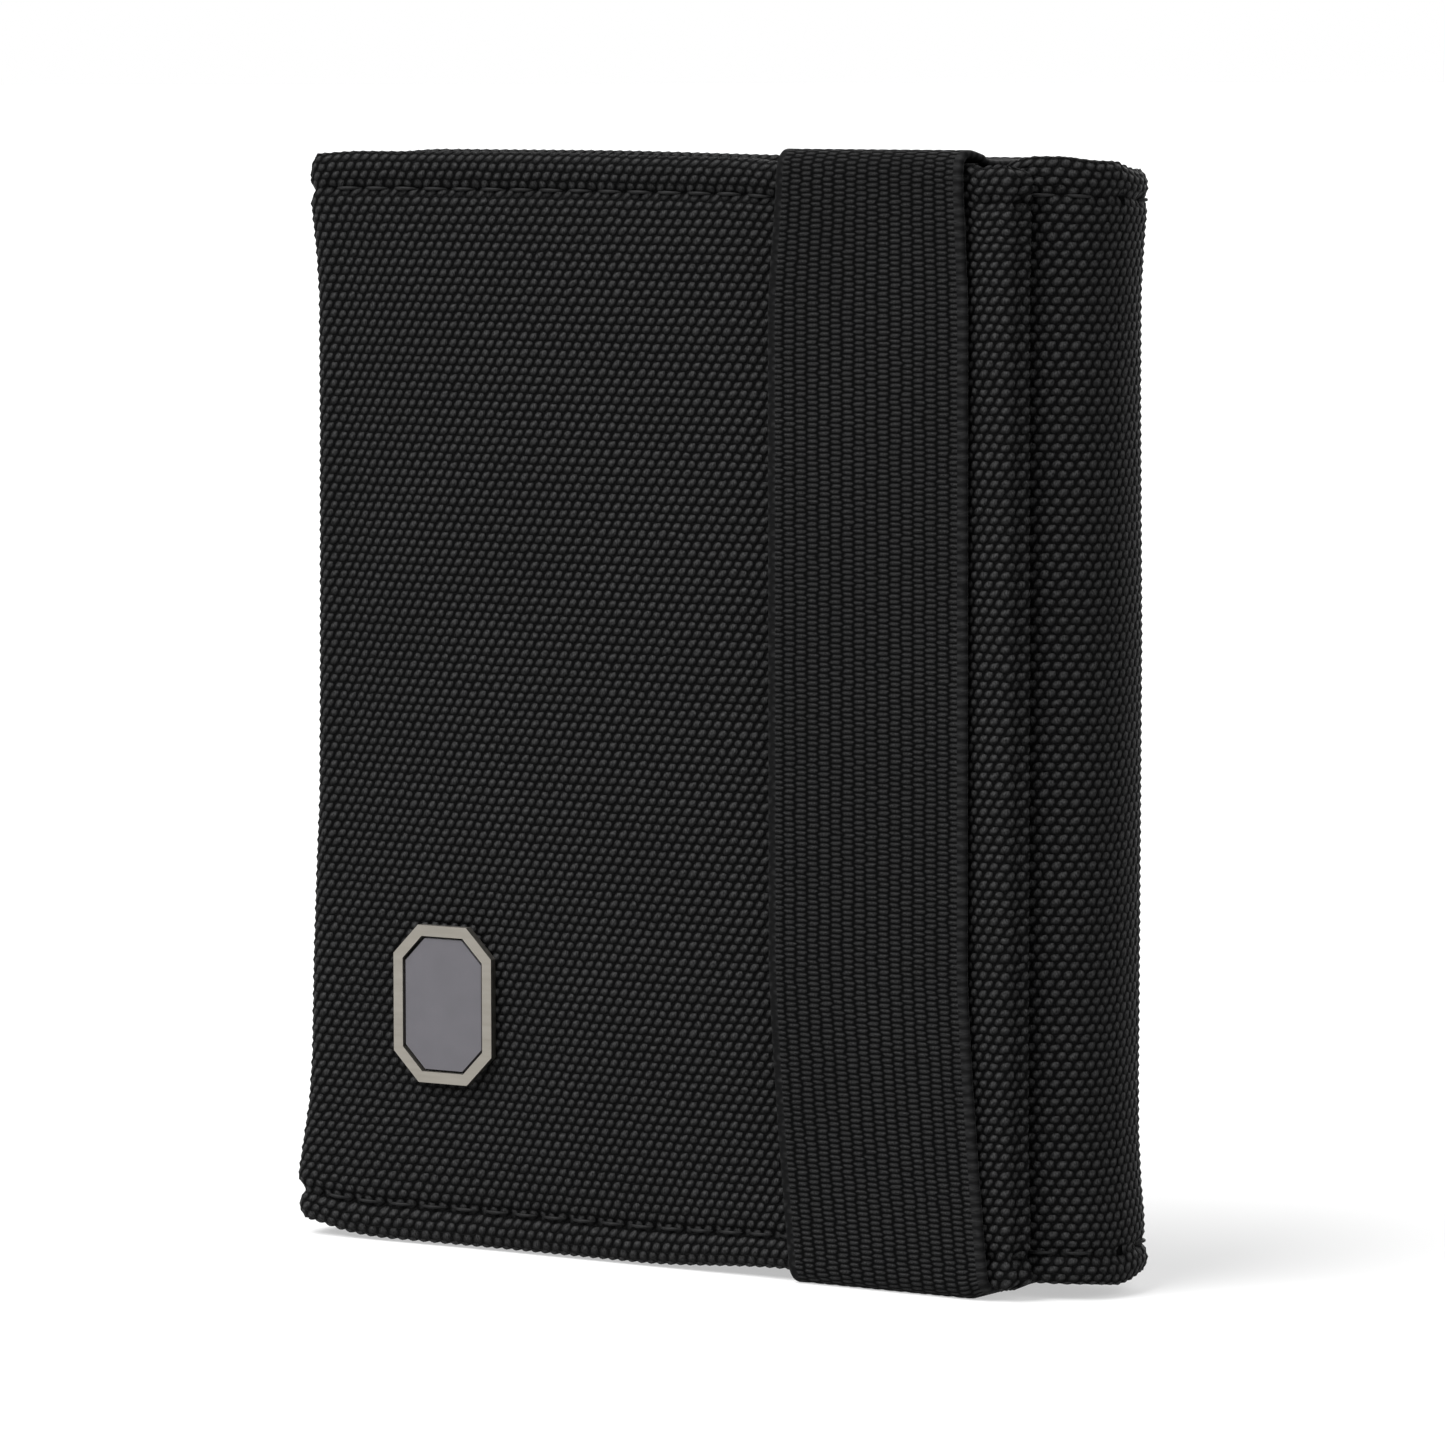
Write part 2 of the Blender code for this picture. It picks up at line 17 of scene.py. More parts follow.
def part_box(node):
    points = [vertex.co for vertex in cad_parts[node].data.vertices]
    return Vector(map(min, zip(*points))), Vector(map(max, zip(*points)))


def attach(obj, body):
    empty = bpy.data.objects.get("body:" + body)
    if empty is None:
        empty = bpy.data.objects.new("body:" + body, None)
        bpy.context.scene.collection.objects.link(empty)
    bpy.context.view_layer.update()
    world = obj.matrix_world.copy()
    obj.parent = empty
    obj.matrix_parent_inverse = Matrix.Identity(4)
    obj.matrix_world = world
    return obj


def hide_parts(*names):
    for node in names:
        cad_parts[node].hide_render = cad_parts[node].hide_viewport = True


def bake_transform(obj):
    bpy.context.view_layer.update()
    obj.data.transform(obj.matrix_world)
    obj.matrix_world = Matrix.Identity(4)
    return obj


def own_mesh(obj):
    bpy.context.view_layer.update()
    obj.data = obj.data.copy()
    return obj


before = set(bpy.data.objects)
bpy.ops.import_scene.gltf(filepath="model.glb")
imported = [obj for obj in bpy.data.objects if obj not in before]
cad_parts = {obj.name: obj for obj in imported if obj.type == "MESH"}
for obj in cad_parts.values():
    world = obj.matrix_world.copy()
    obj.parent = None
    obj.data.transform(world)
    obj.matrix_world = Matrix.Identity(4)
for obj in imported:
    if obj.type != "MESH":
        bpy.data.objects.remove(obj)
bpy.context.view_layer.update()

MM = 0.001

# Ballistic cloth: half the repeat of its plain weave, across and up, and the height of a float.
WARP = 0.73
WEFT = 1.10
RELIEF = 0.24
# Elastic strap: the same for its ribbed weave.
RIB = 1.69
PICK = 0.335
RIB_RELIEF = 0.10
# A float's half width and half height in half repeats, how square its ends are, and how far it leans.
CLOTH_FLOAT = (0.88, 0.58, 2.2, 0.45)
STRAP_FLOAT = (0.47, 0.86, 4.0, 0.0)
# The share of a float's height that lies at the sheet's own surface.
WEAVE_MEAN = 0.4
# How deep the grain of a smooth material is, in metres.
GRAIN_DEPTH = 0.0001

EDGE_ROUND = 1.35
HEM = 6.0
HEM_STEP = 0.08
PANEL_THICKNESS = 3.0
SPINE_THICKNESS = 1.6

TOP_STITCH = 4.6
BOTTOM_STITCH = 4.0
FREE_EDGE_STITCH = 6.4
STITCH_PITCH = 4.4
STITCH_GAP = 0.9
THREAD_RADIUS = 0.23
THREAD_SIDES = 6
# How close the points are that a straight row of stitches follows.
ROW_STEP = 0.4
STITCH_POINTS = 9
# How far a stitch arches over the cloth, and how deep in it starts.
STITCH_ARCH = 0.48
STITCH_DEPTH = 0.34
STITCH_GROOVE = 0.38
NEEDLE_DIMPLE = 0.50
GROOVE_WIDTH = 0.8
GROOVE_FLATTENS = 0.6
EDGE_PUFF = 0.22
# How far in from a free edge its roll starts, and how near it the hems of the two flaps reach.
LIP_START = 1.6
FRONT_HEM_REACH = 1.4
INNER_HEM_REACH = 1.2

# How far the rows of stitches stay off the corners and off the right fold's seam, and how far from the
# left spine's middle the front's rows start and the left fold's stop.
ROW_INSET = 4.5
SEAM_GAP = 0.4
FRONT_ROW_START = 9.5
LEFT_ROW_STOP = 9.0

LEFT_RADIUS = 3.0
# Where the flat panels end and the right fold starts.
FOLD_START_X = 48.5
# How far past the boards the right fold has come down to its own thickness.
BOARD_FADE = 5.0
PATH_STEP = 0.05


def box_mm(node):
    """The lowest and highest corners of a CAD node, in millimetres."""
    low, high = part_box(node)
    return np.array(low) / MM, np.array(high) / MM


# ---------------------------------------------------------------- small maths

def smoothstep(value, start, end):
    t = np.clip((value - start) / (end - start), 0.0, 1.0)
    return t * t * (3.0 - 2.0 * t)


def line(start, end):
    count = max(2, int(math.dist(start, end) / PATH_STEP) + 1)
    return np.linspace(start, end, count)


def arc(centre, radius, first, last):
    """Points on a circle between two angles in degrees."""
    count = max(2, int(abs(math.radians(last - first)) * radius / PATH_STEP) + 1)
    angle = np.radians(np.linspace(first, last, count))
    return np.stack([centre[0] + radius * np.cos(angle), centre[1] + radius * np.sin(angle)], 1)


def spline(knots):
    """A Catmull-Rom curve through the knots."""
    knots = np.array(knots, float)
    padded = np.vstack([2 * knots[0] - knots[1], knots, 2 * knots[-1] - knots[-2]])
    pieces = []
    for p0, p1, p2, p3 in zip(padded, padded[1:], padded[2:], padded[3:]):
        count = max(3, int(np.linalg.norm(p2 - p1) / PATH_STEP) + 1)
        t = np.linspace(0.0, 1.0, count)[:, None]
        pieces.append(0.5 * (2 * p1 + (p2 - p0) * t + (2 * p0 - 5 * p1 + 4 * p2 - p3) * t ** 2
                             + (3 * p1 - p0 - 3 * p2 + p3) * t ** 3))
    return np.vstack(pieces)


def chain(*parts):
    """Several runs of points as one, without doubled points."""
    points = np.vstack(parts)
    step = np.linalg.norm(np.diff(points, axis=0), axis=1)
    return points[np.concatenate([[True], step > 1e-6])]


def along(points):
    """Arc length at each point of a run."""
    step = np.linalg.norm(np.diff(points, axis=0), axis=1)
    return np.concatenate([[0.0], np.cumsum(step)])


def read_at(where, place, points):
    """Points of a run read by interpolation, where place is the run's own coordinate."""
    return np.stack([np.interp(where, place, column) for column in points.T], 1)


def eased(values, width):
    """Numbers smoothed over width of them, with both ends held."""
    window = np.hanning(width)
    return np.convolve(np.pad(values, width // 2, mode="edge"), window / window.sum(), mode="valid")


def unit(vectors):
    return vectors / np.linalg.norm(vectors, axis=1)[:, None]


def inward(points):
    """Unit normals on the left of a run of plan points, which is towards the panel's inside."""
    tangent = unit(np.gradient(points, axis=0))
    return np.stack([-tangent[:, 1], tangent[:, 0]], 1)


def middle_of(curve, thickness):
    """The middle of a panel of the given thickness whose outer face follows a plan curve."""
    return curve + inward(curve) * np.asarray(thickness)[:, None] / 2.0


def grid_normals(grid):
    """Outward unit normals of a grid of points whose rows run round and columns run up."""
    across = np.gradient(grid, axis=0)
    upward = np.gradient(grid, axis=1)
    normal = np.cross(across, upward)
    length = np.linalg.norm(normal, axis=2, keepdims=True)
    return normal / np.maximum(length, 1e-9)


def zigzag(value):
    """How far a number is from the nearest even one: 0 at evens, 1 at odds."""
    return np.abs((value + 1.0) % 2.0 - 1.0)


def floats(u, v, shape):
    """Height, 0 to 1, of a weave's floats: domes at every (i, j) where i + j is even."""
    width, height, square, lean = shape
    du, dv = zigzag(u - lean * (v - np.round(v))), zigzag(v)
    even = (du / width) ** square + (dv / height) ** 2
    odd = ((1.0 - du) / width) ** square + ((1.0 - dv) / height) ** 2
    return np.clip(1.0 - np.minimum(even, odd), 0.0, 1.0)


# ---------------------------------------------------------------- mesh making

def link(name, data):
    made = bpy.data.objects.new(name, data)
    bpy.context.scene.collection.objects.link(made)
    return made


def new_object(name, points, faces, materials, uvs=None, face_material=None):
    """A smooth-shaded mesh object from millimetre points and quads or triangles."""
    mesh = bpy.data.meshes.new(name)
    faces = np.asarray(faces)
    sides = faces.shape[1]
    mesh.vertices.add(len(points))
    mesh.vertices.foreach_set("co", (np.asarray(points, float) * MM).astype(np.float32).ravel())
    mesh.loops.add(faces.size)
    mesh.loops.foreach_set("vertex_index", faces.astype(np.int32).ravel())
    mesh.polygons.add(len(faces))
    mesh.polygons.foreach_set("loop_start", np.arange(0, faces.size, sides, dtype=np.int32))
    mesh.polygons.foreach_set("use_smooth", np.ones(len(faces), bool))
    if face_material is not None:
        mesh.polygons.foreach_set("material_index", np.asarray(face_material, np.int32))
    if uvs is not None:
        layer = mesh.uv_layers.new(name="UVMap")
        layer.data.foreach_set("uv", uvs[faces.ravel()].astype(np.float32).ravel())
    mesh.update(calc_edges=True)
    mesh.validate()
    for made in materials:
        mesh.materials.append(made)
    return link(name, mesh)


def grid_faces(rows, columns, keep=None):
    row, column = np.meshgrid(np.arange(rows - 1), np.arange(columns - 1), indexing="ij")
    corner = row * columns + column
    faces = np.stack([corner, corner + columns, corner + columns + 1, corner + 1], -1)
    return faces[keep] if keep is not None else faces.reshape(-1, 4)


def drop_unused(points, faces, uvs):
    used, compact = np.unique(faces, return_inverse=True)
    return points[used], compact.reshape(faces.shape), uvs[used]


def thread_tube(centres, normals, radius):
    """Points and quads of one stitch: a tube along centres that tapers into the cloth at both ends."""
    count = len(centres)
    side = unit(np.cross(unit(np.gradient(centres, axis=0)), normals))
    swell = np.sin(np.linspace(0.0, math.pi, count)) ** 0.35
    angle = np.linspace(0.0, 2.0 * math.pi, THREAD_SIDES, endpoint=False)
    ring = (np.cos(angle)[None, :, None] * side[:, None, :]
            + np.sin(angle)[None, :, None] * normals[:, None, :])
    points = centres[:, None, :] + ring * (radius * np.maximum(swell, 0.15))[:, None, None]
    faces = []
    for i in range(count - 1):
        here, beyond = i * THREAD_SIDES, (i + 1) * THREAD_SIDES
        for j in range(THREAD_SIDES):
            k = (j + 1) % THREAD_SIDES
            faces.append([here + j, here + k, beyond + k, beyond + j])
    return points.reshape(-1, 3), np.array(faces)


def stitches(name, place, line_points, line_normals, material=None, pitch=STITCH_PITCH):
    """Stitches of thread along a line on the cloth, each one dipping in at its two ends.

    place is the cloth's own coordinate along the line: the needle goes in at multiples of pitch.
    """
    points, faces, base = [], [], 0
    for i in range(math.ceil(place[0] / pitch), math.floor(place[-1] / pitch)):
        start = i * pitch + STITCH_GAP / 2.0
        where = np.linspace(start, start + pitch - STITCH_GAP, STITCH_POINTS)
        centre = read_at(where, place, line_points)
        normal = unit(read_at(where, place, line_normals))
        lift = np.sin(np.linspace(0.0, math.pi, STITCH_POINTS)) * STITCH_ARCH - STITCH_DEPTH
        made, quads = thread_tube(centre + normal * lift[:, None], normal, THREAD_RADIUS)
        points.append(made)
        faces.append(quads + base)
        base += len(made)
    points = np.vstack(points)
    return new_object(name, points, np.vstack(faces), [material or THREAD], uvs=points[:, [0, 2]])


# ---------------------------------------------------------------- materials

def nodes_of(name):
    made = bpy.data.materials.new(name)
    made.use_nodes = True
    tree = made.node_tree
    return made, tree, tree.nodes["Principled BSDF"]


def math_node(tree, operation, *values):
    node = tree.nodes.new("ShaderNodeMath")
    node.operation = operation
    for socket, value in zip(node.inputs, values):
        if isinstance(value, (int, float)):
            socket.default_value = value
        else:
            tree.links.new(value, socket)
    return node.outputs[0]


def ramp(tree, factor, stops):
    node = tree.nodes.new("ShaderNodeValToRGB")
    elements = node.color_ramp.elements
    while len(elements) < len(stops):
        elements.new(0.5)
    for element, (place, colour) in zip(elements, stops):
        element.position = place
        element.color = (*colour, 1.0)
    tree.links.new(factor, node.inputs["Fac"])
    return node.outputs["Color"]


def noise_node(tree, vector, scale, detail=2.0, stretch=(1.0, 1.0, 1.0)):
    mapping = tree.nodes.new("ShaderNodeMapping")
    mapping.inputs["Scale"].default_value = stretch
    tree.links.new(vector, mapping.inputs["Vector"])
    node = tree.nodes.new("ShaderNodeTexNoise")
    node.inputs["Scale"].default_value = scale
    node.inputs["Detail"].default_value = detail
    tree.links.new(mapping.outputs["Vector"], node.inputs["Vector"])
    return node.outputs["Fac"]


def add_bump(tree, shader, height, strength, depth):
    bumped = tree.nodes.new("ShaderNodeBump")
    bumped.inputs["Strength"].default_value = strength
    bumped.inputs["Distance"].default_value = depth
    tree.links.new(height, bumped.inputs["Height"])
    tree.links.new(bumped.outputs["Normal"], shader.inputs["Normal"])


def float_nodes(tree, u, v, shape):
    """The nodes for floats(), and how far up its own float each point is, 0 at the foot to 1."""
    width, height, square, lean = shape
    calc = partial(math_node, tree)

    def dome(across, upward):
        return calc("ADD", calc("POWER", calc("DIVIDE", across, width), square),
                    calc("POWER", calc("DIVIDE", upward, height), 2.0))

    own = calc("WRAP", v, 0.5, -0.5)
    du = calc("PINGPONG", calc("MULTIPLY_ADD", own, -lean, u), 1.0)
    dv = calc("PINGPONG", v, 1.0)
    odd = dome(calc("SUBTRACT", 1.0, du), calc("SUBTRACT", 1.0, dv))
    nearest = calc("MINIMUM", dome(du, dv), odd)
    rise = calc("MAXIMUM", calc("SUBTRACT", 1.0, nearest), 0.0)
    return rise, calc("ADD", own, 0.5)


def woven(name, dark, light, shape, repeat=(1.0, 1.0), coordinates="UV", roughness=0.7,
          specular=0.25, bump=0.25, fibre=(30.0, 4.0), depth=0.0002, unevenness=0.0, painted_top_light=0.0):
    """A woven cloth. repeat is how many half repeats one unit of the coordinates holds.

    unevenness moves the floats about, and the painted top light makes each one lighter towards its upper
    end, a painted highlight where the light from above falls. dark is painted shade at each float's rim
    and in the valleys between floats, and light the painted highlight on the floats' tops.
    """
    made, tree, shader = nodes_of(name)
    calc = partial(math_node, tree)
    coords = tree.nodes.new("ShaderNodeTexCoord")
    split = tree.nodes.new("ShaderNodeSeparateXYZ")
    tree.links.new(coords.outputs[coordinates], split.inputs[0])
    first, second = ("X", "Y") if coordinates == "UV" else ("X", "Z")
    stray = noise_node(tree, coords.outputs[coordinates], 0.45, 1.0, (repeat[0], repeat[1], repeat[1]))
    stray = calc("MULTIPLY_ADD", stray, 2.0 * unevenness, -unevenness)
    dome, own = float_nodes(tree, calc("MULTIPLY_ADD", split.outputs[first], repeat[0], stray),
                            calc("MULTIPLY_ADD", split.outputs[second], repeat[1], stray), shape)
    fine = noise_node(tree, coords.outputs[coordinates], 1.0, 2.0, (fibre[0], fibre[1], fibre[1]))
    patch = noise_node(tree, coords.outputs["Object"], 55.0, 3.0)
    # A float is dark at its rim, a painted shade that also fills the valleys between floats, streaked by
    # its fibres, and lightest near its upper end, a painted highlight where the light from above falls.
    mixed = calc("MULTIPLY", dome, calc("MULTIPLY_ADD", fine, 3.4, -0.7))
    lit = calc("MULTIPLY_ADD", calc("POWER", own, 1.6), painted_top_light, 1.0 - painted_top_light / 2.6)
    mixed = calc("MULTIPLY", mixed, lit)
    # The cloth is a little lighter in some patches than in others.
    mixed = calc("MULTIPLY", mixed, calc("MULTIPLY_ADD", patch, 0.35, 0.82))
    mixed = calc("MULTIPLY", mixed, 0.5)
    # The ramp runs from the painted shade of the valleys to the painted highlight on the floats' tops.
    body = tuple(0.66 * low + 0.34 * high for low, high in zip(dark, light))
    colour = ramp(tree, mixed, [(0.02, dark), (0.34, body), (0.85, light)])
    tree.links.new(colour, shader.inputs["Base Color"])
    rough = calc("MULTIPLY_ADD", fine, 0.18, roughness - 0.09)
    tree.links.new(rough, shader.inputs["Roughness"])
    shader.inputs["Specular IOR Level"].default_value = specular
    height = calc("MULTIPLY_ADD", fine, 0.5, calc("POWER", dome, 0.7))
    add_bump(tree, shader, height, bump, depth)
    return made


def solid(name, dark, light, roughness, metallic=0.0, scale=400.0, stretch=(1.0, 1.0, 1.0),
          bump=0.1, spread=0.15, coat=0.0, specular=0.5):
    """A smooth material, with grain that varies its colour, roughness and surface."""
    made, tree, shader = nodes_of(name)
    calc = partial(math_node, tree)
    coords = tree.nodes.new("ShaderNodeTexCoord")
    grain = noise_node(tree, coords.outputs["Object"], scale, 3.0, stretch)
    wide = noise_node(tree, coords.outputs["Object"], scale / 12.0, 2.0)
    mixed = calc("ADD", calc("MULTIPLY", grain, 0.6), calc("MULTIPLY", wide, 0.4))
    tree.links.new(ramp(tree, mixed, [(0.3, dark), (0.7, light)]), shader.inputs["Base Color"])
    rough = calc("MULTIPLY_ADD", grain, spread, roughness - spread / 2.0)
    tree.links.new(rough, shader.inputs["Roughness"])
    shader.inputs["Metallic"].default_value = metallic
    shader.inputs["Coat Weight"].default_value = coat
    shader.inputs["Specular IOR Level"].default_value = specular
    add_bump(tree, shader, grain, bump, GRAIN_DEPTH)
    return made


# In each woven cloth the first colour is the painted shade of its valleys and the second the painted
# highlight on its floats' tops; the top light, where given, paints each float's upper end lighter still.
CLOTH = woven("cloth_black", (0.0005, 0.0005, 0.0006), (0.037, 0.037, 0.0375), CLOTH_FLOAT,
              roughness=0.6, specular=0.05, fibre=(4.2, 3.2), bump=1.0, depth=0.00034,
              unevenness=0.30, painted_top_light=1.9)
STRAP = woven("elastic_black", (0.0008, 0.0008, 0.0009), (0.030, 0.030, 0.0305), STRAP_FLOAT,
              roughness=0.72, specular=0.04, fibre=(9.0, 2.0), bump=1.0, depth=0.00016,
              unevenness=0.30, painted_top_light=0.3)
SELVEDGE_CLOTH = woven("elastic_edge_black", (0.003, 0.003, 0.0032), (0.019, 0.019, 0.0194), STRAP_FLOAT,
                       repeat=(0.6, 0.5), roughness=0.7, specular=0.06, fibre=(2.0, 2.0), bump=0.5,
                       depth=0.0001, unevenness=0.3)
LINING = woven("lining_black", (0.005, 0.005, 0.0056), (0.070, 0.070, 0.073), CLOTH_FLOAT,
               repeat=(2600.0, 2100.0), coordinates="Object", roughness=0.62, specular=0.1,
               fibre=(5000.0, 700.0), bump=0.6, depth=0.00012, unevenness=0.3)
TAPE = woven("zip_tape_black", (0.0012, 0.0012, 0.0012), (0.018, 0.018, 0.0185), STRAP_FLOAT,
             repeat=(2000.0, 2400.0), coordinates="Object", roughness=0.7, specular=0.1,
             fibre=(900.0, 7000.0), bump=0.6, depth=0.00015)
THREAD = solid("thread_black", (0.002, 0.002, 0.002), (0.010, 0.010, 0.0103), 0.6,
               scale=2500.0, bump=0.6, specular=0.15)
LINING_THREAD = solid("thread_grey", (0.03, 0.03, 0.031), (0.075, 0.075, 0.077), 0.6,
                      scale=2500.0, bump=0.6, specular=0.15)
COIL = solid("coil_nylon", (0.003, 0.003, 0.003), (0.010, 0.010, 0.010), 0.34, scale=1500.0)
BOARD = solid("stiffener_board", (0.02, 0.02, 0.021), (0.05, 0.05, 0.05), 0.85, scale=900.0, bump=0.4)
FOIL = solid("shield_foil", (0.55, 0.56, 0.58), (0.78, 0.78, 0.79), 0.38, metallic=1.0,
             scale=350.0, bump=0.5)
GUNMETAL = solid("zip_gunmetal", (0.07, 0.07, 0.075), (0.15, 0.15, 0.155), 0.32, metallic=1.0,
                 scale=900.0, bump=0.15)
NICKEL = solid("badge_nickel", (0.27, 0.252, 0.220), (0.35, 0.328, 0.290), 0.32, metallic=1.0,
               scale=1300.0, stretch=(0.12, 1.0, 1.0), bump=0.12, spread=0.12)
ENAMEL = solid("badge_enamel_grey", (0.060, 0.057, 0.066), (0.076, 0.072, 0.083), 0.34,
               scale=300.0, bump=0.05, coat=0.35)


# ---------------------------------------------------------------- the plan of the covers

FRONT_LOW, FRONT_HIGH = box_mm("front_shell")
INNER_LOW, INNER_HIGH = box_mm("inner_shell")
BAND_LOW, BAND_HIGH = box_mm("elastic_band")

BOTTOM = FRONT_LOW[2]
TOP = FRONT_HIGH[2]
FRONT_Y = FRONT_LOW[1]
BACK_Y = box_mm("back_shell")[1][1]
INNER_Y = INNER_LOW[1]
LEFT_X = box_mm("left_spine_shell")[0][0]
RIGHT_X = box_mm("right_spine_shell")[1][0]
FREE_X = FRONT_HIGH[0]
INNER_FREE_X = INNER_LOW[0]
BOARD_LEFT = box_mm("back_stiffener")[0][0] - 0.15
BOARD_RIGHT = box_mm("back_stiffener")[1][0] + 0.15
LEFT_MIDDLE_Y = (FRONT_Y + BACK_Y) / 2.0
RIGHT_MIDDLE_Y = (INNER_Y + BACK_Y) / 2.0
# Where the back cover meets the covers of the two folds.
BACK_SPLIT = 44.0
LEFT_SPLIT = -46.0
LOW_ROW = BOTTOM + BOTTOM_STITCH
HIGH_ROW = TOP - TOP_STITCH
EDGE_ROWS = (("top", HIGH_ROW), ("bottom", LOW_ROW))
# Where the right fold's cloth has passed to its spine: in from its crest, and round from a flat face.
FOLD_BEND_IN = 1.0
FOLD_BEND_ROUND = 5.0

# Outward heading of the right fold along its length, in degrees from straight ahead: how a soft
# fold over a thick stack bends, quick round the front, slow down its side, quick at the back.
FOLD_LENGTHS = (0.0, 2.5, 4.5, 6.5, 8.0, 10.0, 12.0, 14.0, 17.0, 20.0, 22.0, 24.0, 26.0, 28.0,
                32.0, 38.0, 44.0)
FOLD_HEADINGS = (0.0, 14.0, 26.0, 36.0, 46.0, 63.0, 74.0, 81.0, 90.0, 98.0, 107.0, 132.0, 158.0,
                 176.0, 186.0, 184.0, 180.0)
FOLD_BULGE = 0.55


def right_fold():
    """The plan of the right fold, from the inner flap's face round to the back panel's."""
    length = np.arange(0.0, FOLD_LENGTHS[-1], PATH_STEP)
    heading = np.radians(np.interp(length, FOLD_LENGTHS, FOLD_HEADINGS))
    heading = eased(heading, 41)
    x = np.cumsum(np.cos(heading)) * PATH_STEP
    y = np.cumsum(np.sin(heading)) * PATH_STEP
    size = (BACK_Y - INNER_Y) / y[-1]
    curve = np.stack([x * size, y * size], 1)
    curve += (RIGHT_X + FOLD_BULGE - curve[:, 0].max(), INNER_Y)
    return curve


def lips(edge, face, thickness, side):
    """The turned edges of cover and lining at a free edge: two rolls with a valley between."""
    knots = [(-LIP_START, 0.0), (-0.8, 0.0), (-0.2, 0.16), (0.12, 0.52), (0.2, 0.95), (0.14, 1.34),
             (0.45, 1.6), (0.9, 1.9), (1.2, 2.25), (1.0, 2.68), (0.2, 2.96), (-1.2, 3.0)]
    scale = thickness / PANEL_THICKNESS
    return spline([(edge + side * out, face + depth * scale) for out, depth in knots])


def front_path():
    """Spine middle, left corner, front face, free edge and its hem."""
    centre = (LEFT_X + LEFT_RADIUS, FRONT_Y + LEFT_RADIUS)
    around = lips(FREE_X, FRONT_Y, PANEL_THICKNESS, 1.0)
    return chain(line((LEFT_X, LEFT_MIDDLE_Y), (LEFT_X, centre[1])),
                 arc(centre, LEFT_RADIUS, 180, 270),
                 line((centre[0], FRONT_Y), around[0]), around,
                 line(around[-1], (FREE_X - HEM, around[-1][1])))


def left_thickness(points):
    """Thickness along a plan path, thin at the left spine and full once past it."""
    share = smoothstep(points[:, 0], LEFT_X, BOARD_LEFT)
    return SPINE_THICKNESS + (PANEL_THICKNESS - SPINE_THICKNESS) * share


def profile(b):
    """How far a cover has turned in, and its height, at each length b up the profile."""
    k = np.zeros_like(b)
    z = b.copy()
    for sign, edge in ((1.0, TOP), (-1.0, BOTTOM)):
        start = edge - sign * EDGE_ROUND
        over = sign * (b - start)
        angle = over / EDGE_ROUND
        turning = (over > 0) & (angle <= math.pi)
        k[turning] = 1.0 - np.cos(angle[turning])
        z[turning] = start + sign * EDGE_ROUND * np.sin(angle[turning])
        past = angle > math.pi
        k[past] = 2.0 + HEM_STEP
        z[past] = start - sign * (over[past] - math.pi * EDGE_ROUND)
    return k, z


def wrap(path, middle, phase):
    """A sheet of cloth wrapped on a plan path and turned in at top and bottom.

    Returns the lengths round and up it, its profile, and its grid of points. phase is the length
    round the path at which the weave starts.
    """
    length = along(path)
    half = WARP / 2.0
    first = math.ceil(-phase / half) * half
    a = np.arange(first, length[-1] - phase + 1e-6, half)
    a = np.unique(np.concatenate([[-phase], a, [length[-1] - phase]]))
    reach = math.pi * EDGE_ROUND + HEM - EDGE_ROUND
    step = WEFT / 2.0
    b = np.arange(math.floor((BOTTOM + EDGE_ROUND - reach) / step),
                  math.ceil((TOP - EDGE_ROUND + reach) / step) + 1) * step
    k, z = profile(b)
    outer = read_at(a + phase, length, path)
    centre = read_at(a + phase, length, middle)
    plan = outer[:, None, :] + (centre - outer)[:, None, :] * k[None, :, None]
    grid = np.concatenate([plan, np.broadcast_to(z[None, :, None], (*plan.shape[:2], 1))], 2)
    return a, b, k, z, grid


def weave_height(a, b):
    return RELIEF * (floats(a / WARP, b / WEFT, CLOTH_FLOAT) - WEAVE_MEAN)


# How far the soft wallet's two folds stand out at each height, in millimetres.
LEFT_FLARE_HEIGHTS = (1.3, 5.0, 7.1, 10.8, 17.0, 23.0, 35.6, 48.0, 56.0, 68.0, 81.0, 104.0, 120.0,
                      125.0, 132.5, 136.4, 138.3)
LEFT_FLARE = (2.5, 2.3, 2.8, 2.25, 1.25, 0.8, 0.5, 0.0, -0.4, -0.55, -0.65, -0.78, -0.78,
              -0.5, 0.25, -0.05, 0.2)
RIGHT_FLARE_HEIGHTS = (1.3, 5.0, 9.0, 13.0, 19.0, 26.0, 60.0, 80.0, 110.0, 122.0, 128.0, 133.0, 138.3)
RIGHT_FLARE = (1.6, 1.3, 1.2, 0.8, 0.45, 0.4, 0.6, 0.7, 0.45, 0.5, 0.9, 1.3, 0.9)
FLARE_WAY = (-0.86, -0.42)
# The soft wallet's other changes of shape. A span is the two places along x between which a change
# fades in; depths and heights are the same along y and z.
LEFT_FLARE_SPAN = (-24.0, LEFT_X)
FLARE_DEPTHS = (BACK_Y, FRONT_Y + 6.0)
BACK_FLARE = 0.35
RIGHT_FLARE_SPAN = (46.0, 55.0)
# The corners rise at the foot and drop at the head, from this share of the half height outwards.
CORNER_SHARE = 0.8
CORNER_SPAN = (-47.0, LEFT_X)
FOOT_CORNER = 0.8
# Between its corners the flap's foot hangs down, and the right fold's foot stands up a little.
FOOT_SAG = 1.0
FOOT_SAG_SPANS = ((-56.0, -42.0), (16.0, -6.0))
FOLD_FOOT_DEPTHS = (-3.0, 1.5, 4.0, 7.0)
FOLD_FOOT = (0.65, 0.15, 0.4, 1.0)
FOLD_FOOT_SPAN = (30.0, 40.0)
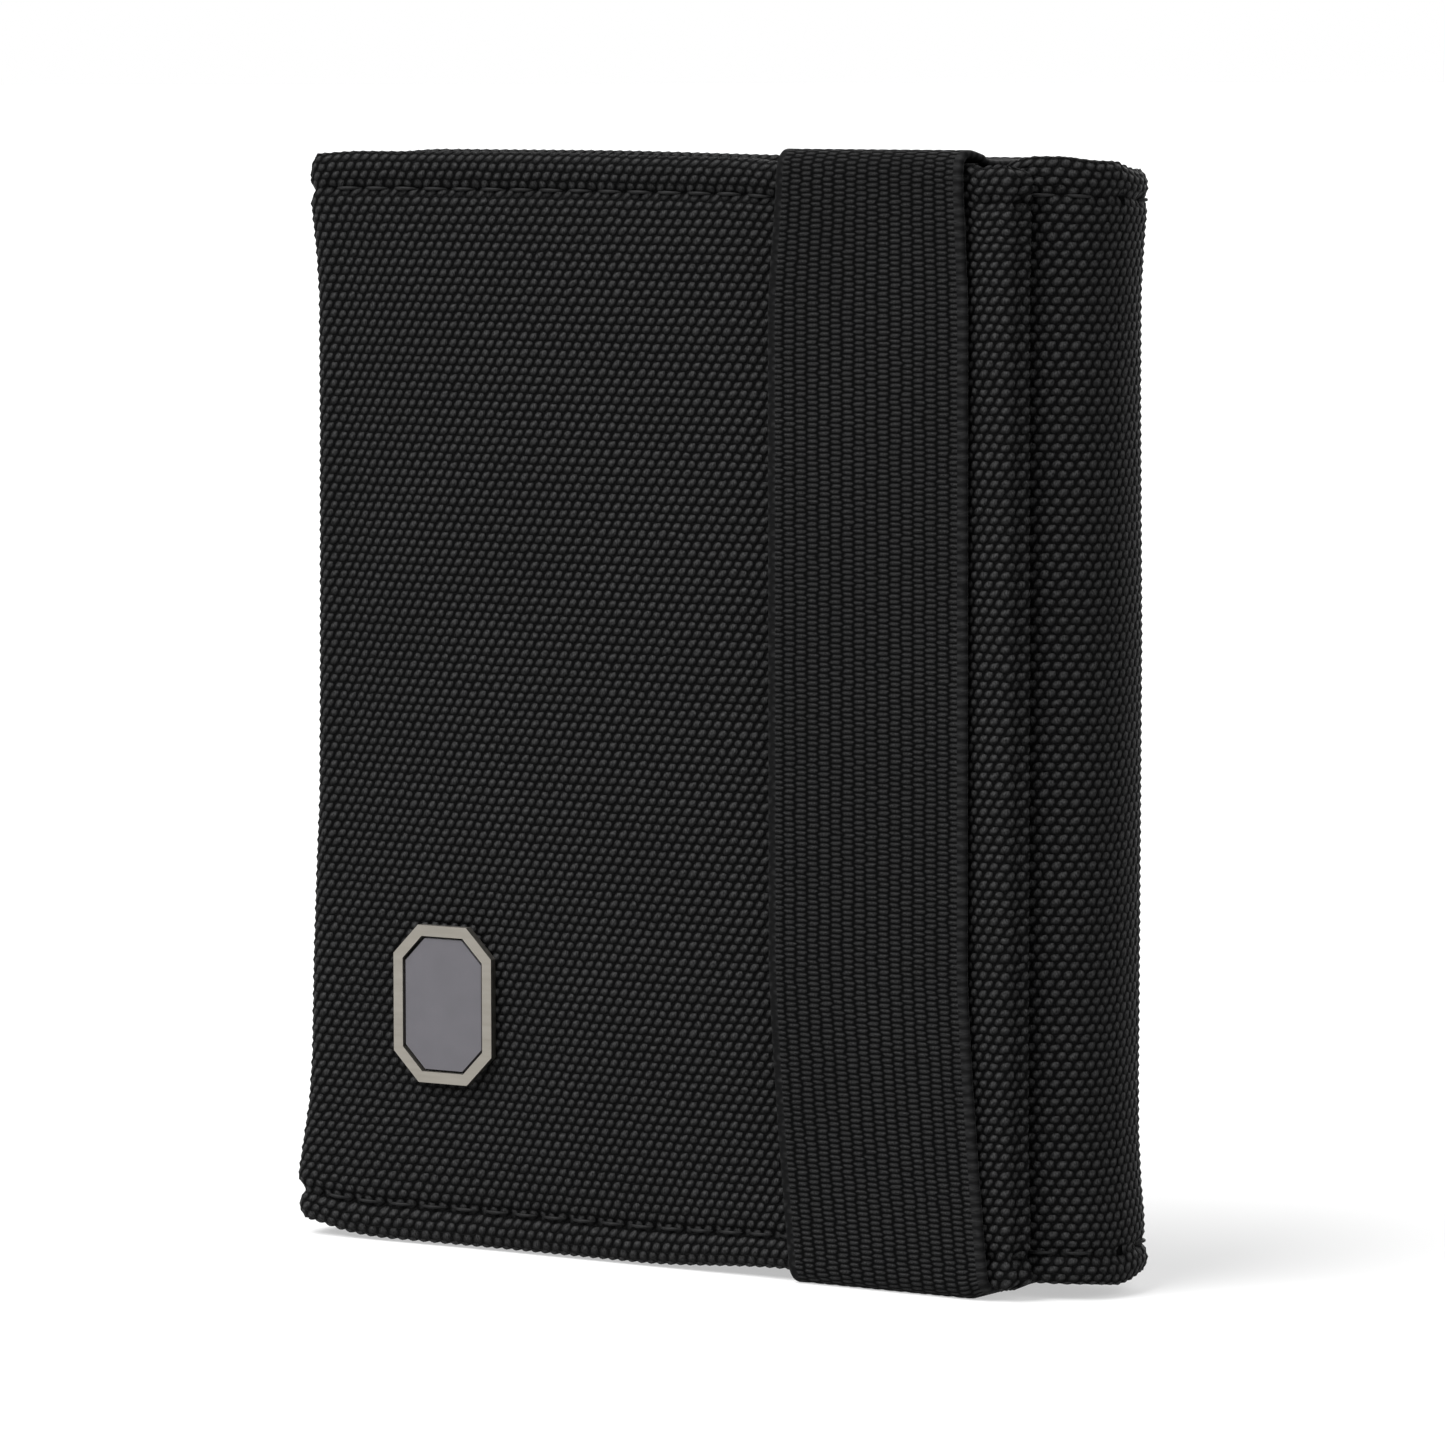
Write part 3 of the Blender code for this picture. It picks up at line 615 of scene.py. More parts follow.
# At the head, the left corner, the flap's middle and the right fold's back corner are lower.
HEAD_CORNER = 0.4
HEAD_CORNER_TIP = 1.3
HEAD_TIP_SPAN = (LEFT_X + 2.5, LEFT_X)
HEAD_SAG = 0.45
HEAD_SAG_SPANS = ((-25.0, 12.0), (BAND_HIGH[0] + 3.0, BAND_HIGH[0]))
BACK_CORNER = 1.7
BACK_CORNER_SPAN = (36.0, 48.0)
BACK_CORNER_DEPTHS = (-2.0, 7.0)
FOLD_CORNER = 0.6
FOLD_CORNER_SPAN = (51.5, RIGHT_X)
# The strap presses the top edges down, the flap's, its free edge's and the inner flap's.
PRESS_HEIGHTS = (TOP - 16.0, TOP)
PRESS_SPAN = (BAND_LOW[0] - 7.0, BAND_LOW[0] + 1.0)
FLAP_PRESS = 0.45
EDGE_PRESS = 0.75
EDGE_PRESS_SPAN = (BAND_HIGH[0] - 1.0, BAND_HIGH[0] + 1.5)
INNER_PRESS = 1.3
INNER_PRESS_SPAN = (BAND_HIGH[0] + 6.0, BAND_HIGH[0])


def slump(points):
    """The soft wallet's own set: its folds flare at the corners, and the strap pulls its top down."""
    moved = points.copy()
    x, y, z = points[..., 0], points[..., 1], points[..., 2]
    near = smoothstep(x, *LEFT_FLARE_SPAN)
    front = smoothstep(y, *FLARE_DEPTHS)
    share = BACK_FLARE + (1.0 - BACK_FLARE) * front
    flare = np.interp(z, LEFT_FLARE_HEIGHTS, LEFT_FLARE) * near * share
    moved[..., 0] += flare * FLARE_WAY[0]
    moved[..., 1] += flare * FLARE_WAY[1] * front
    moved[..., 0] += np.interp(z, RIGHT_FLARE_HEIGHTS, RIGHT_FLARE) * smoothstep(x, *RIGHT_FLARE_SPAN)
    middle = (TOP + BOTTOM) / 2.0
    reach = np.abs(z - middle) / (middle - BOTTOM)
    reach = np.clip((reach - CORNER_SHARE) / (1.0 - CORNER_SHARE), 0.0, 1.0) ** 2
    left = smoothstep(x, *CORNER_SPAN)
    is_flap = y < FRONT_Y + PANEL_THICKNESS + 0.5
    fold_foot = np.interp(y, FOLD_FOOT_DEPTHS, FOLD_FOOT) * smoothstep(x, *FOLD_FOOT_SPAN)
    flap_foot = -FOOT_SAG * smoothstep(x, *FOOT_SAG_SPANS[0]) * smoothstep(x, *FOOT_SAG_SPANS[1])
    foot = FOOT_CORNER * left + np.where(is_flap, flap_foot, fold_foot)
    head = HEAD_CORNER * left + HEAD_CORNER_TIP * smoothstep(x, *HEAD_TIP_SPAN) ** 2
    head += HEAD_SAG * smoothstep(x, *HEAD_SAG_SPANS[0]) * smoothstep(x, *HEAD_SAG_SPANS[1])
    back = smoothstep(y, *BACK_CORNER_DEPTHS) * smoothstep(x, *BACK_CORNER_SPAN) * BACK_CORNER
    head += np.maximum(back, FOLD_CORNER * smoothstep(x, *FOLD_CORNER_SPAN))
    moved[..., 2] += np.where(z > middle, -head, foot) * reach
    held = smoothstep(x, *PRESS_SPAN)
    inner = INNER_PRESS * held * smoothstep(x, *INNER_PRESS_SPAN)
    outer = FLAP_PRESS * held + EDGE_PRESS * smoothstep(x, *EDGE_PRESS_SPAN)
    moved[..., 2] -= np.where(is_flap, outer, inner) * smoothstep(z, *PRESS_HEIGHTS)
    return moved


# ---------------------------------------------------------------- the bulge of the panels

CELL = 3.0
SIM_SCALE = 10.0
SIM_FRAMES = 20
SIM_PRESSURE = 0.9
BULGE_CAP = 1.0
# How far in from the left fold the front starts to swell, and how far out the back does.
FRONT_BULGE_INSET = 6.0
BACK_BULGE_X = 50.0
# How far round the band and the badge the cloth is still held down.
BAND_MARGIN = 1.5
BADGE_MARGIN = 1.0


def simulated_bulge(low, high, held):
    """How far a sheet sewn down round its rim swells over the board under it, by cloth simulation.

    low and high are plan corners, and held the boxes where the sheet is kept down. The sheet is
    simulated ten times its size. Returns the grid's two axes and the heights in millimetres.
    """
    x = np.linspace(low[0], high[0], int((high[0] - low[0]) / CELL) + 1)
    z = np.linspace(low[1], high[1], int((high[1] - low[1]) / CELL) + 1)
    across, upward = np.meshgrid(x, z, indexing="ij")
    points = np.stack([across, np.zeros_like(across), upward], -1).reshape(-1, 3) * SIM_SCALE
    sheet = new_object("bulge_trial", points, grid_faces(len(x), len(z)), [])
    pins = (across <= x[0] + 0.1) | (across >= x[-1] - 0.1)
    pins |= (upward <= z[0] + 0.1) | (upward >= z[-1] - 0.1)
    for x0, z0, x1, z1 in held:
        pins |= (across > x0) & (across < x1) & (upward > z0) & (upward < z1)
    group = sheet.vertex_groups.new(name="held")
    group.add(np.flatnonzero(pins.ravel()).tolist(), 1.0, "REPLACE")
    cloth = sheet.modifiers.new("cloth", "CLOTH")
    settings = cloth.settings
    settings.vertex_group_mass = "held"
    settings.use_pressure = True
    settings.uniform_pressure_force = SIM_PRESSURE
    settings.effector_weights.gravity = 0.0
    settings.quality = 6
    settings.tension_stiffness = 20.0
    settings.compression_stiffness = 20.0
    settings.bending_stiffness = 2.0
    settings.air_damping = 4.0
    cloth.point_cache.frame_end = 30
    scene = bpy.context.scene
    for step in range(1, SIM_FRAMES + 1):
        scene.frame_set(step)
    evaluated = sheet.evaluated_get(bpy.context.evaluated_depsgraph_get())
    co = np.zeros(len(points) * 3, np.float32)
    evaluated.data.vertices.foreach_get("co", co)
    scene.frame_set(1)
    mesh = sheet.data
    bpy.data.objects.remove(sheet)
    bpy.data.meshes.remove(mesh)
    rise = np.abs(co.reshape(len(x), len(z), 3)[:, :, 1].astype(float)) / MM / SIM_SCALE
    return x, z, BULGE_CAP * np.tanh(rise / BULGE_CAP)


def bulge_at(bulge, x, z):
    """The simulated heights read at any plan points, by straight interpolation."""
    xs, zs, rise = bulge
    i = np.clip((x - xs[0]) / (xs[1] - xs[0]), 0, len(xs) - 1.001)
    j = np.clip((z - zs[0]) / (zs[1] - zs[0]), 0, len(zs) - 1.001)
    i0, j0 = i.astype(int), j.astype(int)
    u, v = i - i0, j - j0
    near = rise[i0, j0] * (1 - v) + rise[i0, j0 + 1] * v
    far = rise[i0 + 1, j0] * (1 - v) + rise[i0 + 1, j0 + 1] * v
    return near * (1 - u) + far * u


# ---------------------------------------------------------------- outer covers

def nearness(distance):
    """How close a place is to a row of stitches, from 0 to 1."""
    return np.exp(-((distance / GROOVE_WIDTH) ** 2))


def needle_pull(place):
    """How hard the thread pulls the cloth down, strongest where the needle went in."""
    return STITCH_GROOVE + NEEDLE_DIMPLE * (0.5 + 0.5 * np.cos(2 * math.pi * place / STITCH_PITCH)) ** 4


def puff(share):
    """How far a turned edge stands proud, at each share of the way in to its row of stitches."""
    return EDGE_PUFF * np.sin(np.clip(share, 0.0, 1.0) * math.pi) ** 0.7


def cover_piece(name, path, middle, phase=0.0, edge_line=None, bulge=None, keep_rule=None):
    """A cover with its weave, grooves and padding, and the grid that its stitches are laid on."""
    a, b, k, z, grid = wrap(path, middle, phase)
    face = k == 0.0
    groove = (np.maximum(nearness(z - LOW_ROW), nearness(z - HIGH_ROW)) * face)[None, :]
    pull = needle_pull(a)[:, None] * groove
    swell = (puff(np.minimum((z - BOTTOM) / BOTTOM_STITCH, (TOP - z) / TOP_STITCH)) * face)[None, :]
    if edge_line is not None:
        distance = a - edge_line
        upright = nearness(distance)[:, None] * face[None, :]
        pull = np.maximum(pull, upright * needle_pull(b)[None, :])
        groove = np.maximum(groove, upright)
        swell = np.maximum(swell, puff(distance / FREE_EDGE_STITCH)[:, None])
    rise = weave_height(a[:, None], b[None, :]) * (1.0 - GROOVE_FLATTENS * groove)
    rise += swell - pull
    if bulge is not None:
        *heights, face_y = bulge
        outer = np.abs(grid[:, len(b) // 2, 1] - face_y) < 0.3
        lift = bulge_at(heights, grid[..., 0], grid[..., 2])
        rise += np.where(face[None, :] & outer[:, None], lift, 0.0)
    normals = grid_normals(grid)
    shaped = slump(grid + normals * rise[..., None])
    keep = keep_rule(a, k) if keep_rule else None
    uv = np.stack(np.broadcast_arrays(a[:, None] / WARP, b[None, :] / WEFT), -1).reshape(-1, 2)
    faces = grid_faces(len(a), len(b), keep)
    points, faces, uv = drop_unused(shaped.reshape(-1, 3), faces, uv)
    piece = new_object(name, points, faces, [CLOTH], uvs=uv)
    return piece, (a, b, shaped, normals)


def row_stitches(name, made, height, first, last):
    """Stitches along a cover at one height, between two lengths round its path."""
    a, b, shaped, normals = made
    j = int(np.argmin(np.abs(b - height)))
    pick = (a >= first) & (a <= last)
    smooth = slice(max(0, j - 2), j + 3)
    centres = shaped[pick][:, smooth].mean(axis=1)
    centres = np.stack([eased(column, 9) for column in centres.T], 1)
    return stitches(name, a[pick], centres, normals[pick][:, j])


def column_stitches(name, made, at, low, high):
    """Stitches up a cover at one length round its path, between two heights."""
    a, b, shaped, normals = made
    i = int(np.argmin(np.abs(a - at)))
    pick = (b >= low) & (b <= high)
    centres = shaped[i - 2:i + 3, pick].mean(axis=0)
    return stitches(name, b[pick], centres, normals[i, pick])


def settle(piece, body):
    """Put a piece on its body."""
    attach(piece, body)


def add_cover(name, node, curve, middle, ends, bodies, width, board, bend=None, edge_row=None, **looks):
    """A cover and its rows of stitches in place of a CAD shell, put on their body unless bend is given.

    ends is the two lengths round the path between which the rows along the top and bottom edges run,
    and edge_row the length at which a row runs up the cloth. bend is the two plan points where the cloth
    passes from the first body to the second; only whether it is given is read, and then the pieces are
    put on no body.
    """
    cover, made = cover_piece(name + "_cover", curve, middle, **looks)
    rows = [row_stitches(f"{name}_{edge}_stitches", made, at, *ends) for edge, at in EDGE_ROWS]
    if edge_row is not None:
        rows.append(column_stitches(name + "_edge_stitches", made, edge_row,
                                    BOTTOM + ROW_INSET, TOP - ROW_INSET))
    for piece in (cover, *rows):
        if bend:
            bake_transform(piece)
        else:
            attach(piece, *bodies)
    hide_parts(node)


def hem_rule(drop, side):
    """A rule for the faces to keep: the hem closes the back of a free edge, so the sheet turned in
    above it is left off. side is 1 where the hem is at the path's end and -1 where it starts it.
    """
    def keep(a, k):
        turned = np.maximum(k[:-1], k[1:]) > 1.001
        past = a[:-1] > drop if side > 0 else a[1:] < drop
        return ~(past[:, None] & turned[None, :])
    return keep


front_curve = front_path()
front_length = along(front_curve)
front_centre = FRONT_Y + PANEL_THICKNESS / 2.0
front_middle = middle_of(front_curve, left_thickness(front_curve))
at_edge = (front_curve[:, 0] > FREE_X - LIP_START) & (front_curve[:, 1] < FRONT_Y + 0.1)
free_start = int(np.argmax(at_edge))
hem_start = len(front_curve) - int(np.argmax(front_curve[::-1, 0] > FREE_X - FRONT_HEM_REACH)) - 1
front_middle[free_start:hem_start] = (FREE_X - LIP_START, front_centre)
front_middle[hem_start:, 1] = front_centre
front_edge_a = front_length[free_start] + LIP_START - FREE_EDGE_STITCH
front_drop_a = front_length[free_start] + LIP_START - HEM

# Where the cloth is held down: under the band, and under the badge.
band_hold = (BAND_LOW[0] - BAND_MARGIN, BOTTOM, BAND_HIGH[0] + BAND_MARGIN, TOP)
badge_low, badge_high = box_mm("badge_frame")
badge_hold = (badge_low[0] - BADGE_MARGIN, badge_low[2] - BADGE_MARGIN,
              badge_high[0] + BADGE_MARGIN, badge_high[2] + BADGE_MARGIN)
front_bulge = simulated_bulge((LEFT_X + FRONT_BULGE_INSET, LOW_ROW), (FREE_X - FREE_EDGE_STITCH, HIGH_ROW),
                              [band_hold, badge_hold])

add_cover("front", "front_shell", front_curve, front_middle, (FRONT_ROW_START, front_edge_a),
          ("left_spine", "front_flap"), 0.130, "front_stiffener",
          bend=((LEFT_X, FRONT_Y + LEFT_RADIUS), (LEFT_X + LEFT_RADIUS, FRONT_Y)),
          edge_row=front_edge_a, edge_line=front_edge_a, bulge=(*front_bulge, FRONT_Y),
          keep_rule=hem_rule(front_drop_a, 1))

fold_curve = right_fold()
split_at = int(np.argmax(fold_curve[:, 1] > RIGHT_MIDDLE_Y))
inner_thickness = INNER_HIGH[1] - INNER_Y


def inner_path():
    """Hem, free edge, inner flap's face, and the front half of the right fold."""
    around = lips(INNER_FREE_X, INNER_Y, inner_thickness, -1.0)[::-1]
    return chain(line((INNER_FREE_X + HEM, around[0][1]), around[0]), around,
                 line(around[-1], fold_curve[0]), fold_curve[:split_at])


inner_curve = inner_path()
inner_length = along(inner_curve)
inner_middle = middle_of(inner_curve, inner_thickness + (SPINE_THICKNESS - inner_thickness)
                         * smoothstep(inner_curve[:, 0], BOARD_RIGHT, BOARD_RIGHT + BOARD_FADE))
inner_start = int(np.argmax(inner_curve[:, 0] < INNER_FREE_X + INNER_HEM_REACH))
inner_end = len(inner_curve) - int(np.argmax(inner_curve[::-1, 0] < INNER_FREE_X + LIP_START)) - 1
inner_middle[inner_start:inner_end] = (INNER_FREE_X + LIP_START, INNER_Y + inner_thickness / 2.0)
inner_phase = inner_length[-1]
inner_drop_a = inner_length[inner_end] - LIP_START + HEM - inner_phase

inner_first = inner_length[inner_end] + FREE_EDGE_STITCH - LIP_START - inner_phase
add_cover("inner", "inner_shell", inner_curve, inner_middle, (inner_first, -SEAM_GAP),
          ("inner_flap", "right_spine"), 0.074, "inner_stiffener",
          bend=((FOLD_START_X, INNER_Y), (RIGHT_X - FOLD_BEND_IN, INNER_Y + FOLD_BEND_ROUND)),
          edge_row=inner_first, phase=inner_phase, keep_rule=hem_rule(inner_drop_a, -1))

back_curve = line((BACK_SPLIT, BACK_Y), (LEFT_SPLIT, BACK_Y))
right_curve = fold_curve[split_at - 1:]
right_curve = chain(right_curve[right_curve[:, 0] > BACK_SPLIT], np.array([[BACK_SPLIT, BACK_Y]]))
right_thickness = SPINE_THICKNESS + (PANEL_THICKNESS - SPINE_THICKNESS) * smoothstep(
    right_curve[:, 0], BOARD_RIGHT + BOARD_FADE, BOARD_RIGHT) * (right_curve[:, 1] > RIGHT_MIDDLE_Y)
add_cover("fold_right", "right_spine_shell", right_curve, middle_of(right_curve, right_thickness),
          (SEAM_GAP, along(right_curve)[-1]), ("right_spine", "back_panel"), 0.022, "right_spine_lining",
          bend=((RIGHT_X - FOLD_BEND_IN, BACK_Y - FOLD_BEND_ROUND), (FOLD_START_X, BACK_Y)))

back_bulge = simulated_bulge((-BACK_BULGE_X, LOW_ROW), (BACK_BULGE_X, HIGH_ROW), [band_hold])
back_middle = middle_of(back_curve, np.full(len(back_curve), PANEL_THICKNESS))
add_cover("back", "back_shell", back_curve, back_middle, (0.0, along(back_curve)[-1]), ("back_panel",),
          0.090, "back_stiffener", bulge=(*back_bulge, BACK_Y))

left_centre = (LEFT_X + LEFT_RADIUS, BACK_Y - LEFT_RADIUS)
left_curve = chain(line((LEFT_SPLIT, BACK_Y), (left_centre[0], BACK_Y)),
                   arc(left_centre, LEFT_RADIUS, 90, 180),
                   line((LEFT_X, left_centre[1]), (LEFT_X, LEFT_MIDDLE_Y)))
left_phase = along(left_curve)[-1]
left_middle = middle_of(left_curve, left_thickness(left_curve))
add_cover("fold_left", "left_spine_shell", left_curve, left_middle, (-left_phase, -LEFT_ROW_STOP),
          ("back_panel", "left_spine"), 0.022, "left_spine_lining", phase=left_phase,
          bend=((LEFT_X + LEFT_RADIUS, BACK_Y), (LEFT_X, BACK_Y - LEFT_RADIUS)))


# ---------------------------------------------------------------- elastic strap

STRAP_ROUND = 2.2
STRAP_THICKNESS = 1.0
STRAP_HEAD = 138.95
STRAP_RUN = 137.7
# The rolled selvedges: their width, how far they stand proud, and the points round each.
SELVEDGE = 1.2
SELVEDGE_RISE = 0.06
ROLL_POINTS = 7
END_ROUND = 0.8
BAND_CENTRE = (BAND_LOW[0] + BAND_HIGH[0]) / 2.0
BAND_WIDTH = BAND_HIGH[0] - BAND_LOW[0]
STRAP_SPREAD = 0.4
STRAP_PINCH = 1.0
PINCH_HEIGHTS = (118.0, 138.0)
# How far the strap's right edge turns up at its foot, and over what width and height.
STRAP_CURL = 1.0
CURL_WIDTH = 2.5
CURL_HEIGHTS = (5.0, 0.5)
# How far the strap is pulled to the right at its foot, up to what height, and at its head.
FOOT_DRIFT = 3.1
DRIFT_HEIGHT = 40.0
HEAD_DRIFT = 0.25
TAIL_THICKNESS = 0.7
# How far the rows that sew a tail down are from its end, and how long their stitches are.
TAIL_ROWS = np.array((1.6, 4.2, 7.6))
TAIL_PITCH = 2.6


def strap_path():
    """The strap's outer face in the YZ plane: back of its foot, front, and over the top edges."""
    low, high = BAND_LOW, BAND_HIGH
    front, foot, r = low[1], low[2], STRAP_ROUND
    over = spline([(front, STRAP_HEAD - 2.6), (front + 0.35, STRAP_HEAD - 1.2),
                   (front + 1.5, STRAP_HEAD - 0.15), (front + 3.0, STRAP_HEAD),
                   (front + 5.5, STRAP_HEAD - 0.5), (front + 8.5, STRAP_RUN), (high[1], STRAP_RUN)])
    return chain(line((high[1], foot), (front + r, foot)), arc((front + r, foot + r), r, 270, 180),
                 line((front, foot + r), over[0]), over)


def strap_drift(z):
    """How far the strap is pulled to the right, at its foot and a little at its head."""
    foot = np.clip(1.0 - z / DRIFT_HEIGHT, 0.0, 1.0) ** 1.3
    return FOOT_DRIFT * foot + HEAD_DRIFT * smoothstep(z, *PINCH_HEIGHTS)


def strap_height(a, b):
    """Ribs of the elastic, flat topped, with a pick showing across each one."""
    return RIB_RELIEF * (floats(a / RIB, b / PICK, STRAP_FLOAT) - WEAVE_MEAN)


def strap_object(name, path, width, centre, thickness, closed_ends=(False, False)):
    """A woven strap with a smooth rolled selvedge along both edges, as one closed tube."""
    length = along(path)
    b = np.append(np.arange(0.0, length[-1], PICK / 2.0), length[-1])
    flat = width / 2.0 - SELVEDGE
    a = np.linspace(-flat, flat, int(flat / (RIB / 4.0)) * 2 + 2)
    roll = np.linspace(0.0, math.pi, ROLL_POINTS)
    rim = flat + SELVEDGE * (0.62 + 0.38 * np.sin(roll))
    drop = (1.0 - np.cos(roll)) / 2.0 * thickness
    across = np.concatenate([-rim[::-1], a, rim])
    depth = np.concatenate([drop[::-1], np.zeros(len(a)), drop])
    lift = np.full((len(across), len(b)), SELVEDGE_RISE)
    lift[len(roll):-len(roll)] = strap_height(a[:, None] + RIB / 2.0, b[None, :])
    ends = np.ones(len(b))
    for closed, gap in zip(closed_ends, (b, b[-1] - b)):
        if closed:
            ends *= np.sqrt(np.clip(gap / END_ROUND, 0.0, 1.0))
    place = read_at(b, length, path)
    out = inward(place)
    height = (lift - depth[:, None] + thickness / 2.0) * ends - thickness / 2.0
    grid = np.zeros((len(across), len(b), 3))
    grid[..., 1:] = place[None] + out[None] * height[..., None]
    pinch = 1.0 - STRAP_PINCH / width * 2.0 * smoothstep(grid[..., 2], *PINCH_HEIGHTS)
    grid[..., 0] = centre + across[:, None] * pinch + strap_drift(grid[..., 2])
    curl = smoothstep(across, flat - CURL_WIDTH, flat + SELVEDGE)[:, None]
    grid[..., 2] += STRAP_CURL * curl * smoothstep(grid[..., 2], *CURL_HEIGHTS)
    rows, columns = grid.shape[:2]
    run = np.arange(columns - 1)
    joined = np.stack([run, run + 1, (rows - 1) * columns + run + 1, (rows - 1) * columns + run], 1)
    fan = np.array([[0, i, i + 1, i + 2] for i in range(1, rows - 2, 2)]) * columns
    faces = np.vstack([grid_faces(rows, columns), joined, fan, fan[:, ::-1] + columns - 1])
    uv = np.stack(np.broadcast_arrays(across[:, None] / RIB + 0.5, b[None, :] / PICK), -1).reshape(-1, 2)
    rim_rows = np.ones(rows, bool)
    rim_rows[len(roll):-len(roll)] = False
    at_rim = rim_rows[faces // columns].any(axis=1)
    made = new_object(name, grid.reshape(-1, 3), faces, [STRAP, SELVEDGE_CLOTH], uvs=uv,
                      face_material=at_rim)
    return made


def tail(node, path, sewn_heights):
    """An end of the strap sewn to the back panel, with rows of stitches across it."""
    made = strap_object("strap_" + node, path, BAND_WIDTH, BAND_CENTRE, TAIL_THICKNESS, (True, True))
    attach(made, "back_panel")
    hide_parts(node)
    outer = path[:, 0].max() + 0.02
    x = np.arange(BAND_CENTRE - BAND_WIDTH / 2.0 + 1.0, BAND_CENTRE + BAND_WIDTH / 2.0 - 1.5, ROW_STEP)
    for i, height in enumerate(sewn_heights):
        shift = strap_drift(np.full(len(x), height))
        points = np.stack([x + shift, np.full(len(x), outer), np.full(len(x), height)], 1)
        normals = np.tile((0.0, 1.0, 0.0), (len(x), 1))
        row = stitches(f"{node}_row_{i}", x, points, normals, pitch=TAIL_PITCH)
        settle(row, "back_panel")


strap = strap_object("elastic_strap", strap_path(), BAND_WIDTH + STRAP_SPREAD,
                     BAND_CENTRE - STRAP_SPREAD / 2.0, STRAP_THICKNESS)
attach(strap, "band")
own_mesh(strap)
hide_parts("elastic_band")

TAIL_LOW, TAIL_HIGH = box_mm("band_tail_top")
TAIL_FOOT_TOP = box_mm("band_tail_bottom")[1][2]
TAIL_FACE = TAIL_HIGH[1] + 0.15
tail("band_tail_top", spline([(8.0, STRAP_RUN + 0.1), (9.6, STRAP_RUN + 0.1),
                              (10.8, STRAP_RUN - 0.5), (TAIL_FACE, STRAP_RUN - 2.0),
                              (TAIL_FACE, 132.0), (TAIL_FACE, TAIL_LOW[2])]),
     TAIL_LOW[2] + TAIL_ROWS)
tail("band_tail_bottom", spline([(TAIL_FACE, TAIL_FOOT_TOP), (TAIL_FACE, 7.0), (TAIL_FACE, 1.9),
                                 (10.7, 0.35), (9.5, -0.1), (8.0, -0.1)]),
     TAIL_FOOT_TOP - TAIL_ROWS)


# ---------------------------------------------------------------- linings, pockets and gussets

SOFT_CELL = 3.2
SOFT_BEVEL = 0.14
LINING_WAVE = 0.22
WAVE_LENGTH = 34.0
# How far below its mouth a lowered sheet starts to come down.
MOUTH_HEIGHT = 20.0
LINING_PITCH = 3.2
SIDE_INSET = 2.0
# Where a binding's stitches run: how far they stand off the pocket, and how far below its mouth.
BINDING_FACE = 0.34
BINDING_ROW = 3.4


def soft_copy(node, material, slot_name, body, grow=0.0, shift=0.0, lower=0.0):
    """A CAD sheet as cloth: rounded rims, cells fine enough to bend, and a slow wave through it.

    grow is how much further out each side edge lies than in the CAD; a negative one also lowers the top.
    shift moves the sheet back into its panel, and lower brings its mouth down.
    """
    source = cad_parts[node].data
    bm = bmesh.new()
    bm.from_mesh(source)
    bmesh.ops.remove_doubles(bm, verts=bm.verts, dist=1e-6)
    bmesh.ops.dissolve_limit(bm, angle_limit=math.radians(1.0), verts=bm.verts, edges=bm.edges)
    sharp = [e for e in bm.edges if len(e.link_faces) == 2 and e.calc_face_angle() > 0.6]
    bmesh.ops.bevel(bm, geom=sharp, offset=SOFT_BEVEL * MM, offset_type="OFFSET", segments=2,
                    affect="EDGES", profile=0.5, clamp_overlap=True)
    low, high = box_mm(node)
    for axis in (0, 2):
        for at in np.arange(low[axis] + SOFT_CELL / 2.0, high[axis], SOFT_CELL):
            normal = Vector((0, 0, 0))
            normal[axis] = 1.0
            bmesh.ops.bisect_plane(bm, geom=[*bm.verts, *bm.edges, *bm.faces],
                                   plane_co=normal * at * MM, plane_no=normal)
    flat = np.array([v.co for v in bm.verts]) / MM
    for axis, by in ((0, grow), (2, min(grow, 0.0))):
        centre, half = (low[axis] + high[axis]) / 2.0, (high[axis] - low[axis]) / 2.0
        flat[:, axis] = centre + (flat[:, axis] - centre) * (half + by) / half
    flat[:, 1] += shift
    flat[:, 2] -= lower * smoothstep(flat[:, 2], high[2] - MOUTH_HEIGHT, high[2])
    for vertex, place in zip(bm.verts, slump(flat)):
        swell = LINING_WAVE * noise.noise(Vector((place[0] / WAVE_LENGTH, place[2] / WAVE_LENGTH, 3.0)))
        vertex.co = Vector((place[0], place[1] + swell, place[2])) * MM
    for face in bm.faces:
        face.smooth = True
    mesh = bpy.data.meshes.new("soft_" + node)
    bm.to_mesh(mesh)
    bm.free()
    mesh.materials.append(material)
    made = link("soft_" + node, mesh)
    made.modifiers.new("crease", "WEIGHTED_NORMAL")
    settle(made, body)
    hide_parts(node)
    return made


CARD_SLOTS = (("card_slot_tall", "inner_flap"), ("card_slot_middle", "inner_flap"),
              ("card_slot_short", "inner_flap"))
